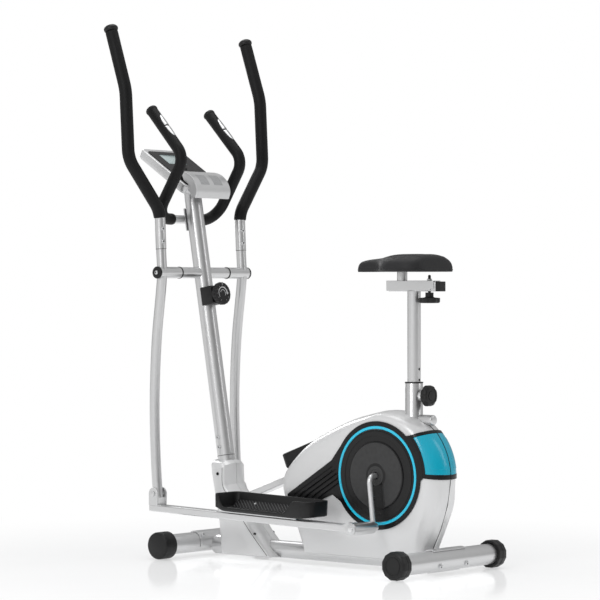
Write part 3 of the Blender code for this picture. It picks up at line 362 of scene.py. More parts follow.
def fluted(profile, depth, flutes, power, place):
    """A knob of rings, where the marked ones dip between the fingers."""
    rings = []
    for radius, distance, wave in profile:
        ring = []
        for i in range(KNOB_SIDES):
            t = 2 * math.pi * i / KNOB_SIDES
            dip = depth * (0.5 + 0.5 * math.cos(flutes * t)) ** power if wave else 0
            ring.append(place(radius - dip, t, distance))
        rings.append(ring)
    return stitch(rings)


def post_point(z):
    """The point at a height on the post's axis."""
    return Vector((POST_X - (z - POST_Z) * math.tan(POST_LEAN), 0, z))


POST_AXIS = Vector((-math.sin(POST_LEAN), 0, math.cos(POST_LEAN)))
POST_FACE = Vector((math.cos(POST_LEAN), 0, math.sin(POST_LEAN)))


def bolt(name, at, direction, radius, body, height=0.003, mat=None, washer=True):
    """A domed socket screw on a washer."""
    direction = Vector(direction).normalized()
    if washer:
        add(name + "_washer",
            turned(soften([(TINY, -0.001), (radius * 1.35, -0.001), (radius * 1.35, 0.0009),
                           (TINY, 0.0009)], 0.0004),
                   at, direction, 28), CHROME, body)
    h = height
    profile = [(TINY, -0.0005), (radius, -0.0005), (radius, h * 0.35), (radius * 0.86, h * 0.75),
               (radius * 0.6, h), (radius * 0.42, h),
               (radius * 0.38, h * 0.35), (TINY, h * 0.30)]
    add(name, turned(profile, Vector(at) + direction * 0.0009, direction, 24), mat or CHROME, body)
    # The black hex inside the socket recess is painted shade in the recess.
    socket = [(TINY, h * 0.25), (radius * 0.40, h * 0.25), (radius * 0.40, h * 0.55), (TINY, h * 0.55)]
    add(name + "_socket", turned(socket, Vector(at) + direction * 0.0009, direction, 6), GLOSS, body,
        smooth=20)


# ---------------------------------------------------------------- plain finishes for the CAD nodes that stay

def finish_nodes():
    """Give each CAD node its material."""
    looks = {STEEL: ["base_frame", "front_foot", "crank_bearing_left", "crank_bearing_right", "crank_axle",
                     "flywheel_axle",
                     "seat_post", "seat_carriage", "pedal_rail_left", "pedal_rail_right", "pivot_axle"],
             CHROME: ["crank_pin_left", "crank_pin_right"],
             BRIGHT: ["crank_arm_left", "crank_arm_right"],
             IRON: ["flywheel", "magnet_brake"], RUBBER: ["drive_belt"],
             BLACK: ["drive_pulley", "sleeve_collar", "tension_box"],
             SILVER: ["console_button", "console_case", "console_lip"],
             DISC: ["crank_disc_left", "crank_disc_right"],
             GLOSS: ["side_trim_left", "side_trim_right", "console_panel"],
             RING: ["accent_ring_left", "accent_ring_right"],
             CYAN: ["rear_accent_left", "rear_accent_right"],
             WHITE: ["post_cover_left", "post_cover_right", "housing_left", "housing_right"],
             SCREEN: ["console_display"]}
    for mat, names in looks.items():
        for name in names:
            mesh = NODES[name].data
            mesh.materials.clear()
            mesh.materials.append(mat)


# ---------------------------------------------------------------- base, post and front cover

def end_cap(name, x, half, length, side, node, sides):
    """A cross tube's end cap: a plain round one, or a faceted one with a ring on its face."""
    outer = 0.0398
    if sides > 20:
        profile = [(0.0312, 0.0006), (0.0330, 0.0), (outer - 0.0020, 0.0), (outer, 0.0020),
                   (outer, length - 0.0060),
                   (outer - 0.0010, length - 0.0030), (outer - 0.0032, length - 0.0008),
                   (outer - 0.0060, length), (TINY, length + 0.0006)]
    else:
        profile = [(0.0312, 0.0006), (0.0330, 0.0), (outer - 0.0020, 0.0), (outer, 0.0020),
                   (outer, length * 0.40),
                   (outer - 0.0008, length * 0.43), (outer - 0.0008, length * 0.47), (outer, length * 0.50),
                   (outer, length - 0.0060), (outer - 0.0018, length - 0.0022),
                   (outer - 0.0055, length - 0.0002),
                   (0.030, length), (0.0285, length - 0.0010), (TINY, length - 0.0010)]
    profile = [(TINY, 0.004), (0.0303, 0.004)] + profile
    add(name, turned(profile, (x, side * (half - length), STAB_Z), (0, side, 0), sides), BLACK, "frame",
        [node], smooth=25 if sides < 20 else 40)
    if sides < 20:
        ring = soften([(0.0225, -0.0012), (0.0250, -0.0012), (0.0250, -0.0002), (0.0225, -0.0002)], 0.0004,
                      closed=True)
        add(f"{name}_ring", turned(ring, (x, side * half, STAB_Z), (0, side, 0), 64, ring=True), GLOSS,
            "frame")


def bracket(name, x, first, last):
    """A curved plate that holds a cross tube to the beam."""
    inner = STAB_R + 0.0004
    outer = inner + 0.0035
    points = arc((x, STAB_Z), outer, first, last, 26) + arc((x, STAB_Z), inner, last, first, 26)
    return add(name, plate(points, -0.073, 0.073), STEEL, "frame", bevel=0.0008)


def build_base():
    """The beam, the seat's sleeve, both cross tubes and what is welded to them."""
    for name, x, half, cap, sides in (("front", FRONT_STAB_X, FRONT_STAB_HALF, 0.047, 64),
                                      ("rear", REAR_STAB_X, REAR_STAB_HALF, 0.038, 12)):
        end = half - 0.0030
        add(f"{name}_cross_tube", tube([(x, -end, STAB_Z), (x, end, STAB_Z)], STAB_R, 72), STEEL, "frame",
            [f"{name}_stabilizer"])
        for side, word in SIDES.items():
            end_cap(f"{name}_cap_{word}_look", x, half, cap, side, f"{name}_cap_{word}", sides)
    add("beam", turned(soften([(TINY, 0.0), (BEAM_R, 0.0), (BEAM_R, 0.630), (TINY, 0.630)], 0.002),
                       (-0.055, 0, BEAM_Z), (1, 0, 0), 64), STEEL, "frame", ["base_frame"])
    top = SEAT_SLEEVE_TOP
    profile = [(SEAT_SLEEVE_R - 0.002, 0.0), (SEAT_SLEEVE_R, 0.0), (SEAT_SLEEVE_R, top - 0.053),
               (SEAT_SLEEVE_R - 0.0004, top - 0.0524),
               (SEAT_SLEEVE_R - 0.002, top - 0.0524)]
    add("seat_sleeve", turned(profile, (SEAT_X, 0, 0.0530), (0, 0, 1), 72, ring=True), STEEL, "frame")
    add("sleeve_lip",
        turned(soften([(SEAT_SLEEVE_R - 0.002, 0.0), (SEAT_SLEEVE_R + 0.0011, 0.0),
                       (SEAT_SLEEVE_R + 0.0011, 0.0032),
                       (SEAT_POST_R + 0.0006, 0.0036), (SEAT_POST_R + 0.0006, 0.0)], 0.0006,
                      closed=True),
               (SEAT_X, 0, top + 0.0001), (0, 0, 1), 72, ring=True), BLACK, "frame",
        ["sleeve_collar"])
    add("rear_stub",
        turned(soften([(TINY, 0.0), (0.0150, 0.0), (0.0150, 0.0440), (0.0115, 0.0480), (TINY, 0.0487)],
                      0.0016),
               (SEAT_X + SEAT_SLEEVE_R - 0.0012, 0, STUB_Z), (1, 0, 0), 48), STEEL, "frame")
    add("crank_shell",
        turned(soften([(0.018, -0.024), (0.0225, -0.024), (0.0225, 0.024), (0.018, 0.024)], 0.001,
                      closed=True),
               (CRANK_X, 0, CRANK_Z), (0, 1, 0), 40, ring=True), STEEL, "frame")
    add("crank_strut", block((CRANK_X - 0.010, -0.012, 0.053), (CRANK_X + 0.010, 0.012, CRANK_Z - 0.0205)),
        STEEL, "frame", bevel=0.001)
    add("crank_brace",
        block((CRANK_X + 0.0186, -0.010, CRANK_Z - 0.012),
              (SEAT_X - SEAT_SLEEVE_R + 0.0012, 0.010, CRANK_Z + 0.012)),
        STEEL, "frame", bevel=0.001)
    section = [(-0.0100, 0.0555), (0.0100, 0.0555), (0.0100, 0.083), (0.0460, 0.083), (0.0460, 0.251),
               (0.0430, 0.251),
               (0.0430, 0.087), (-0.0300, 0.087), (-0.0300, 0.251), (-0.0330, 0.251), (-0.0330, 0.083),
               (-0.0100, 0.083)]
    add("flywheel_fork", stitch([[Vector((x, y, z)) for y, z in section] for x in (0.172, 0.208)]), STEEL,
        "frame")
    bracket("rear_bracket", REAR_STAB_X, 62, 262)
    for side in SIDES:
        angle = math.radians(-24)
        out = Vector((math.cos(angle), 0, math.sin(angle)))
        bolt(f"rear_bolt_{SIDES[side]}",
             Vector((REAR_STAB_X, side * 0.060, STAB_Z)) + out * (STAB_R + 0.0002), out, 0.0065, "frame",
             0.0038)

    length = 0.213
    start = (-0.243, 0, BEAM_Z)
    profile = [(BEAM_R, 0.0), (0.0283, 0.0), (0.0285, 0.0004), (0.0285, length - 0.0012), (0.0275, length),
               (BEAM_R, length)]
    add("foot_sleeve", turned(profile, start, (1, 0, 0), 64, ring=True), STEEL, "frame", ["front_foot"])
    add("foot_stem",
        turned([(TINY, 0), (POST_R, 0), (POST_R, 0.2475), (0.0230, 0.2478), (0.0230, 0.322), (TINY, 0.322)],
               post_point(0.053), POST_AXIS, 64), STEEL, "frame")
    add("foot_gusset",
        plate([(-0.150, 0.054), (-0.060, 0.054), (-0.060, 0.062), (-0.150, 0.150)], -0.002, 0.002), STEEL,
        "frame")
    bracket("front_bracket", FRONT_STAB_X, -25, 110)
    for side in SIDES:
        angle = math.radians(40)
        out = Vector((math.cos(angle), 0, math.sin(angle)))
        bolt(f"front_bolt_{SIDES[side]}",
             Vector((FRONT_STAB_X, side * 0.058, STAB_Z)) + out * (STAB_R + 0.0036), out, 0.0058, "frame",
             0.0034)


def cover_outlines():
    """The outline of the post's cover at its seam and at its flat side."""
    outer = [(-0.1945, 0.0095), (-0.2070, 0.1000), (-0.2330, 0.250), (-0.2390, 0.276),
             (-0.2340, COVER_TOP_Z),
             (-0.180, COVER_TOP_Z), (-0.168, 0.276), (-0.1650, 0.215), (-0.1100, 0.1500), (-0.0520, 0.0840),
             (0.0190, 0.0095)]
    inner = [(-0.1790, 0.0125), (-0.1850, 0.1000), (-0.2190, 0.245), (-0.2180, 0.262), (-0.2110, 0.270),
             (-0.1880, 0.270), (-0.1815, 0.262), (-0.1790, 0.210), (-0.1230, 0.1400), (-0.0700, 0.0750),
             (-0.0040, 0.0125)]
    return outer, inner


def fine(outline):
    """More points along an outline's straight runs."""
    out = []
    for a, b in zip(outline, outline[1:] + outline[:1]):
        out += [(a[0] + (b[0] - a[0]) * k / 6, a[1] + (b[1] - a[1]) * k / 6) for k in range(6)]
    return out


def cover_solid(side):
    """One filled half of the cover round the post's foot."""
    outer, inner = (fine(o) for o in cover_outlines())
    rings = []
    for t in [math.radians(v) for v in (0, 12, 25, 38, 50, 60, 70, 80, 90)]:
        share = 1 - math.cos(t)
        y = 0.0006 + (0.0475 - 0.0006) * math.sin(t) ** 0.9
        rings.append([Vector((p[0] + (q[0] - p[0]) * share, side * y, p[1] + (q[1] - p[1]) * share))
                      for p, q in zip(outer, inner)])
    return stitch(rings)


def build_cover():
    """Both halves of the post's cover, with their screws and the joint above them."""
    for side, word in SIDES.items():
        piece = add(f"post_cover_{word}_look", cover_solid(side), WHITE, "frame", [f"post_cover_{word}"],
                    smooth=38)
        hole = tube([post_point(0.2), post_point(0.34)], POST_R + CLEAR, 48)
        profile = [(0.0290, -0.3), (0.0290, -0.0297), (0.0254, -0.0297), (0.0254, 0.1)]
        cut(piece, [hole, turned(profile, (0, 0, BEAM_Z), (1, 0, 0), 48)])
        bolt(f"cover_screw_{word}", (-0.199, side * 0.0470, 0.2445), (0, side, 0), 0.0046, "frame", 0.0026,
             GLOSS, False)
        bolt(f"cover_low_screw_{word}", (-0.0585, side * 0.0415, 0.0740), (0.5, side, 0.2), 0.0042, "frame",
             0.0024, GLOSS, False)
        # A thin gloss-black line where the flat side meets the rounded edge: painted shade in the crease.
        line = spline([(-0.1815, side * 0.0476, 0.262), (-0.1790, side * 0.0476, 0.210),
                       (-0.1520, side * 0.0476, 0.1740),
                       (-0.1230, side * 0.0476, 0.1400), (-0.0700, side * 0.0476, 0.0780),
                       (-0.0060, side * 0.0476, 0.0135)], 8)
        add(f"cover_crease_{word}", tube(line, 0.0007, 10), GLOSS, "frame")
    for k, z in enumerate((0.322, 0.350)):
        bolt(f"post_bolt_{k}", post_point(z) + Vector((0, -POST_R + 0.0004, 0)), (0, -1, 0), 0.0052,
             "frame", 0.0034)
    add("post_joint",
        turned([(POST_R - 0.001, 0.0), (POST_R + 0.0006, 0.0), (POST_R + 0.0006, 0.0014),
                (POST_R - 0.001, 0.0014)],
               post_point(POST_Z - 0.0012), POST_AXIS, 64, ring=True), GLOSS, "frame")


def build_post():
    """The post, the arms' pivot shaft, and the tension box with its dial."""
    length = (POST_TOP_Z - POST_Z) / math.cos(POST_LEAN)
    add("post_tube",
        turned([(TINY, 0.0), (POST_R - 0.0004, 0.0), (POST_R, 0.0004), (POST_R, length), (TINY, length)],
               post_point(POST_Z), POST_AXIS, 72),
        STEEL, "frame", ["front_post"])
    inner, outer = SLEEVE_Y[0] - 0.0035, SLEEVE_Y[1]
    cap = outer + 0.0005
    half = [(AXLE_R, inner), (AXLE_END_R, inner), (AXLE_END_R, cap), (0.0172, cap), (0.0178, cap + 0.0006),
            (0.0178, cap + 0.0028), (0.0150, cap + 0.0050), (0.0, cap + 0.0054)]
    profile = [(max(r, TINY), -y) for r, y in half[::-1]] + [(max(r, TINY), y) for r, y in half]
    add("pivot_shaft", turned(profile, (PIVOT_X, 0, PIVOT_Z), (0, 1, 0), 64), STEEL, "frame",
        ["pivot_axle"])
    for side, word in SIDES.items():
        add(f"pivot_ring_{word}",
            turned(soften([(0.0095, 0.0), (0.0180, 0.0), (0.0180, 0.0045), (0.0165, 0.0062),
                           (0.0095, 0.0062)], 0.0008),
                   (PIVOT_X, side * (cap + 0.0002), PIVOT_Z), (0, side, 0), 48),
            BLACK, "frame")
        bolt(f"pivot_bolt_{word}", (PIVOT_X, side * (cap + 0.0056), PIVOT_Z), (0, side, 0), 0.0062, "frame",
             0.0040, None, False)
        add(f"pivot_washer_{word}",
            turned([(AXLE_END_R + 0.0005, -0.0010), (0.0180, -0.0010), (0.0180, 0.0016),
                    (AXLE_END_R + 0.0005, 0.0016)],
                   (PIVOT_X, side * (SLEEVE_Y[0] - 0.0022), PIVOT_Z), (0, side, 0),
                   48, ring=True), GLOSS, "frame")

    box_z, depth = 0.7665, POST_R + 0.0235
    corner = post_point(box_z)
    points = [corner + POST_FACE * a + POST_AXIS * b for a, b in
              ((0.004, -0.0275), (depth - 0.004, -0.0275), (depth, -0.0235), (depth, 0.0235),
               (depth - 0.004, 0.0275), (0.004, 0.0275))]
    box = add("tension_case", plate([(p.x, p.z) for p in points], -0.0270, 0.0270), BLACK, "frame",
              ["tension_box"], bevel=0.0035)
    cut(box, [tube([post_point(0.70), post_point(0.84)], POST_R - 0.0004, 48)])
    at = corner + POST_FACE * (depth + GAP)
    profile = ((0.0268, 0.0, 0), (0.0270, 0.0060, 0), (0.0325, 0.0074, 0), (0.0338, 0.0090, 1),
               (0.0343, 0.0175, 1), (0.0334, 0.0205, 1), (0.0312, 0.0222, 0), (0.0275, 0.0224, 0),
               (0.0264, 0.0210, 0), (TINY, 0.0210, 0))
    across = Vector((0, 1, 0))

    def on_dial(r, t, d):
        return at + POST_FACE * d + (across * math.cos(t) + POST_AXIS * math.sin(t)) * r

    add("tension_knob", fluted(profile, 0.0021, 20, 2, on_dial), BLACK, "dial", ["tension_dial"], smooth=28)

    def mark(name, points, width, lift):
        """A raised line on the dial's face."""
        verts, faces = [], []
        for k, p in enumerate(points):
            ahead = Vector(points[min(k + 1, len(points) - 1)]) - Vector(points[max(k - 1, 0)])
            normal = Vector((-ahead.y, ahead.x)).normalized() * width[k] / 2
            for s in (1, -1):
                q = Vector(p) + normal * s
                for d in (lift, lift - 0.0006):
                    verts.append(at + POST_FACE * d + across * q.x + POST_AXIS * q.y)
        for k in range(len(points) - 1):
            a, b = 4 * k, 4 * k + 4
            faces += [(a, a + 2, b + 2, b), (a + 1, b + 1, b + 3, a + 3), (a, b, b + 1, a + 1),
                      (a + 2, a + 3, b + 3, b + 2)]
        e = 4 * (len(points) - 1)
        faces += [(0, 1, 3, 2), (e, e + 2, e + 3, e + 1)]
        add(name, (verts, faces), SILVER, "dial")

    sweep = arc((0, 0), 0.0185, 215, 5, 28)
    mark("dial_arc", sweep, [0.0012 + 0.0030 * k / 28 for k in range(29)], 0.0214)
    tip = arc((0, 0), 0.0185, 6, -14, 4)
    mark("dial_arrow", tip, [0.0085, 0.0065, 0.0043, 0.0022, 0.0002], 0.0214)
    for k in range(11):
        t = math.radians(-60 + 30 * k)
        mark(f"dial_tick_{k}",
             [(0.0228 * math.cos(t), 0.0228 * math.sin(t)), (0.0250 * math.cos(t), 0.0250 * math.sin(t))],
             [0.0011, 0.0011], 0.0214)
    inner = arc((0, 0), 0.0105, 160, -40, 16)
    mark("dial_inner_arc", inner, [0.0016] * 17, 0.0214)
    mark("dial_pointer", [(0.0, 0.0255), (0.0, 0.0318)], [0.0018, 0.0018], 0.0225)


# ---------------------------------------------------------------- console and hand grips

CONSOLE = Matrix.Translation((CONSOLE_X, 0, CONSOLE_Z)) @ Matrix.Rotation(CONSOLE_SLOPE, 4, "Y")


def round_rect(x0, x1, y0, y1, r, z):
    """A ring with rounded corners at a height."""
    steps = 6
    ring = []
    for cx, cy, first in ((x1 - r, y1 - r, 0), (x0 + r, y1 - r, 90), (x0 + r, y0 + r, 180),
                          (x1 - r, y0 + r, 270)):
        for k in range(steps + 1):
            t = math.radians(first + 90 * k / steps)
            ring.append(Vector((cx + r * math.cos(t), cy + r * math.sin(t), z)))
    return ring


def build_console():
    """The console's case, panel, window and button, and the curved lip below it."""
    half, thick, length = 0.0900, 0.0300, 0.222
    rings = []
    for grow, z in ((0.010, -thick), (0.0035, -thick + 0.0018), (0.0008, -thick + 0.0060),
                    (0.0, -thick + 0.0110), (0.0, -0.0060), (0.0010, -0.0028),
                    (0.0032, -0.0008), (0.0065, 0.0)):
        rings.append(round_rect(grow, length - grow, -half + grow, half - grow,
                                max(0.016 - grow * 0.5, 0.004), z))
    case = add("console_body", stitch(rings), SILVER, "frame", ["console_case"], at=CONSOLE)
    cut(case, [tube([post_point(1.0), post_point(POST_TOP_Z + 0.0005)], POST_R + 0.0003, 48)])
    x0, x1 = 0.020, 0.214
    rings = [round_rect(x0 + g, x1 - g, -0.080 + g, 0.080 - g, 0.009, z)
             for g, z in ((0.0, 0.0001), (0.0, 0.0018), (0.0008, 0.0026))]
    panel = add("console_face", stitch(rings), GLOSS, "frame", ["console_panel"], at=CONSOLE)
    window = block((0.038, -0.047, -0.01), (0.092, 0.034, 0.01))
    button_hole = turned([(TINY, -0.01), (0.0093, -0.01), (0.0093, 0.01), (TINY, 0.01)], (0.1135, 0, 0),
                         (0, 0, 1), 40)
    cut(panel, [placed(window, CONSOLE), placed(button_hole, CONSOLE)])
    rings = [round_rect(0.0384 + g, 0.0916 - g, -0.0466 + g, 0.0336 - g, 0.0015, z)
             for g, z in ((0.0, 0.0004), (0.0, 0.0014), (0.0006, 0.0018))]
    add("console_screen", stitch(rings), SCREEN, "frame", ["console_display"], at=CONSOLE)
    profile = soften([(TINY, 0.0021), (0.0090, 0.0021), (0.0090, 0.0042), (0.0078, 0.0050), (TINY, 0.0050)],
                     0.0007)
    add("console_key", turned(profile, (0.1135, 0, 0), (0, 0, 1), 48), BLACK, "button", ["console_button"],
        at=CONSOLE)

    points = spline([(x, 0, z)
                     for x, z in [(-0.3450, 1.1425), (-0.325, 1.1425), (-0.306, 1.1390), (-0.288, 1.1310),
                                  (-0.2700, 1.115),
                                  (-0.2590, 1.095), (-0.2575, 1.078), (-0.2640, 1.0605)]], 6)
    flat = [(p.x, p.z) for p in points]

    def offset(line, depth):
        """A line moved sideways by a depth."""
        out = []
        for k, p in enumerate(line):
            a, b = Vector(line[max(k - 1, 0)]), Vector(line[min(k + 1, len(line) - 1)])
            run = (b - a).normalized()
            normal = Vector((run.y, -run.x))
            out.append((p[0] + normal.x * depth, p[1] + normal.y * depth))
        return out

    inner = offset(flat, 0.0038)
    add("lip_shell", plate(flat + inner[::-1], -0.0755, 0.0755), SILVER, "frame", ["console_lip"],
        bevel=0.0012, smooth=30)
    for k, (ya, yb) in enumerate(((-0.050, -0.012), (0.008, 0.046))):
        rows = flat[18:29]
        lifted, under = offset(rows, -0.0003), offset(rows, 0.0005)
        add(f"lip_grille_{k}", plate(lifted + under[::-1], ya, yb), GRILLE, "frame")
    for side in SIDES:
        y = side * 0.0735
        cheek = inner[8:] + [(-0.282, 1.072), (-0.306, 1.104)]
        add(f"lip_cheek_{SIDES[side]}", plate(cheek, min(y, y + side * 0.0014), max(y, y + side * 0.0014)),
            SILVER, "frame")


def pulse_path(side, inner_y):
    """The line of one half of the fixed handlebar."""
    points = [(-0.3700, side * inner_y, 1.000), (-0.3700, side * 0.133, 1.000),
              (-0.2560, side * 0.131, 1.178), (-0.3926, side * 0.1276, 1.325)]
    return rounded(points, (0.060, 0.050), 14)


def foam_shape(path, radius):
    """A filled foam sleeve along a path, with a rounded rim at each end."""
    end = 0.006
    path = [Vector(p) for p in path]
    lengths = [0.0]
    for a, b in zip(path, path[1:]):
        lengths.append(lengths[-1] + (b - a).length)
    total = lengths[-1]

    def at(s):
        for k in range(1, len(path)):
            if s <= lengths[k]:
                return path[k - 1].lerp(path[k], (s - lengths[k - 1]) / (lengths[k] - lengths[k - 1]))
        return path[-1]

    stops = [0.0, end * 0.12, end * 0.4, end]
    middle = [s for s in lengths if end * 1.3 < s < total - end * 1.3]
    stops = stops + middle + [total - end, total - end * 0.4, total - end * 0.12, total]
    scale = [0.70, 0.86, 0.965, 1.0] + [1.0] * len(middle) + [1.0, 0.965, 0.86, 0.70]
    return tube([at(s) for s in stops], radius, 48, radii=scale)


def build_pulse():
    """The fixed handlebar with its foams, hand sensors and plugs."""
    path = pulse_path(LEFT, 0.01)[::-1] + pulse_path(RIGHT, 0.01)
    path[0], path[-1] = path[0].lerp(path[1], 0.10), path[-1].lerp(path[-2], 0.10)
    add("pulse_tube", tube(path, 0.0125, 40), STEEL, "frame", ["pulse_bar"])
    front = -(POST_R + GAP)
    centre = post_point(1.004)
    corners = [centre + POST_FACE * a + POST_AXIS * b for a, b in
               ((front - 0.004, -0.034), (front, -0.034), (front, 0.034), (front - 0.004, 0.034))]
    add("pulse_plate", plate([(p.x, p.z) for p in corners], -0.017, 0.017), STEEL, "frame", bevel=0.001)
    for side, word in SIDES.items():
        path = pulse_path(side, 0.058)
        add(f"pulse_foam_{word}", foam_shape(path, 0.0172), FOAM, "frame",
                      [f"pulse_grip_{word}"])
        low, high = path[-2], path[-1]
        along = (high - low).normalized()
        out = Vector((0, 0, 1)) - along * along.z
        out = (out + Vector((0.35, 0, 0)) - along * 0.35 * along.x).normalized()
        across = along.cross(out).normalized()
        middle = low.lerp(high, 0.49)
        for k, (first, last) in enumerate(((0.055, 0.985), (-0.985, -0.055))):
            for name, grow, height, mat in (("sensor", 0.0, 0.0186, CHROME),
                                            ("sensor_rim", 0.0016, 0.0178, GLOSS)):
                outer, inner = [], []
                for i in range(19):
                    u = first + (last - first) * i / 18
                    wide = (0.0098 * math.sqrt(max(1 - u * u, 0.0)) + 0.0008 + grow) / 0.0172
                    reach = 0.0435 * u + (grow if u > 0 else -grow) * (1 if abs(u) > 0.5 else -0.4)
                    rows = ([], [])
                    for j in range(11):
                        w = wide * (j / 5.0 - 1.0)
                        edge = 0.0009 * max(0.0,
                                            abs(j / 5.0 - 1.0) ** 6 + (1.0 if i in (0, 18) else 0.0) * 0.6)
                        facing = out * math.cos(w) + across * math.sin(w)
                        base = middle + along * reach
                        rows[0].append(base + facing * (height - min(edge, 0.0009)))
                        rows[1].append(base + facing * 0.0160)
                    outer.append(rows[0])
                    inner.append(rows[1])
                add(f"pulse_{name}_{word}_{k}", slab(outer, inner), mat, "frame", smooth=50)
        profile = [(TINY, -0.0060), (0.0150, -0.0060), (0.0168, -0.0046), (0.0180, -0.0022),
                   (0.0185, 0.0004)]
        profile += [(0.0185 * math.cos(math.radians(t)), 0.0008 + 0.0112 * math.sin(math.radians(t)))
                    for t in range(8, 90, 8)] + [(TINY, 0.0120)]
        add(f"pulse_plug_{word}", turned(profile, path[-1] - along * 0.0040, along, 48), BLACK, "frame")


# ---------------------------------------------------------------- swinging arms

def arm_line(side):
    """The line of a lower arm."""
    points = [(-0.3052, JOINT_Z - GAP), (-0.3028, 0.870), (-0.3010, PIVOT_Z), (-0.3041, 0.800),
              (-0.3120, 0.735),
              (-0.3207, 0.664), (-0.3268, 0.585), (-0.3305, 0.500), (-0.3313, 0.430), (-0.3295, 0.350),
              (-0.3245, 0.255), (KNEE_X, KNEE_Z), (-0.3179, 0.1765)]
    return spline([(x, side * ARM_Y, z) for x, z in points], 6)


def build_arm(side, word):
    """A lower arm with its pivot sleeve, and the handle above it."""
    body = f"arm_{word}"
    add(f"arm_tube_{word}", tube(arm_line(side), ARM_R, 48), STEEL, body, [f"lower_arm_{word}"])
    low, high = SLEEVE_Y
    profile = [(AXLE_END_R + 0.0004, 0.0), (SLEEVE_R - 0.0006, 0.0), (SLEEVE_R, 0.0006),
               (SLEEVE_R, high - low - 0.0006),
               (SLEEVE_R - 0.0006, high - low), (AXLE_END_R + 0.0004, high - low)]
    add(f"arm_sleeve_{word}", turned(profile, (PIVOT_X, side * low, PIVOT_Z), (0, side, 0), 64, ring=True),
        STEEL, body)
    points = [(-0.3052, side * ARM_Y, JOINT_Z), (-0.3105, side * ARM_Y, 1.0200),
              (-0.3225, side * 0.2985, 1.1700),
              (-0.3335, side * 0.2990, 1.3720), (-0.3985, side * 0.2982, 1.5660)]
    path = rounded(points, (0.075, 0.080, 0.160), 14)
    end = path[-1] - (path[-1] - path[-2]).normalized() * 0.0240
    add(f"handle_tube_{word}", tube(path[:-1] + [end], HANDLE_R, 48), STEEL, body, [f"handle_{word}"])
    add(f"handle_joint_{word}",
        turned([(HANDLE_R - 0.001, 0.0), (HANDLE_R + 0.0003, 0.0), (HANDLE_R + 0.0003, 0.0012),
                (HANDLE_R - 0.001, 0.0012)],
               path[0], path[1] - path[0], 48, ring=True), GLOSS, body)
    first = next(i for i, point in enumerate(path) if point.z > GRIP_START_Z + 0.001)
    below, above = path[first - 1], path[first]
    line = [below.lerp(above, (GRIP_START_Z - below.z) / (above.z - below.z))] + path[first:]
    along = (line[-1] - line[-2]).normalized()
    line[-1] = line[-1] - along * 0.020
    add(f"handle_foam_{word}", foam_shape(line, GRIP_R), FOAM, body, [f"handle_grip_{word}"])
    profile = [(TINY, -0.0060), (0.0180, -0.0060), (0.0196, -0.0050), (0.0207, -0.0025), (0.0212, 0.0005)]
    profile += [(0.0212 * math.cos(math.radians(t)), 0.0010 + 0.0130 * math.sin(math.radians(t)))
                for t in range(8, 90, 8)] + [(TINY, 0.0140)]
    add(f"handle_cap_{word}", turned(profile, path[-1] - along * 0.0150, along, 56), BLACK, body)
    for k, share in enumerate((0.30, 0.78)):
        p = path[0].lerp(Vector((-0.3095, side * ARM_Y, 0.9850)), share)
        for way in (1, -1):
            out = Vector((way * 0.94, -0.34 * way, 0))
            bolt(f"handle_bolt_{word}_{k}_{'fb'[way > 0]}", p + out * (HANDLE_R - 0.0006), out, 0.0056,
                 body, 0.0036)


# ---------------------------------------------------------------- crank, rails and pedals

def crank_pin(side):
    """The x and z of a crank arm's far end."""
    sign = -side
    return (CRANK_X + sign * CRANK_R * math.sin(CRANK_ANGLE),
            CRANK_Z - sign * CRANK_R * math.cos(CRANK_ANGLE))


def channel_outline(reach, across, first, half):
    """A slot from near the crank's axis to a round end, as wide as twice half."""
    centre = Vector((CRANK_X, CRANK_Z))
    turns = [math.radians(t) for t in (20, 40, 60, 80, 100, 120, 140, 160)]
    points = [(first, -half), (0.105, -half)]
    points += [(0.105 + half * math.sin(t), -half * math.cos(t)) for t in turns]
    points += [(0.105, half), (first, half)]
    return flat_points([centre + reach * a + across * b for a, b in points])


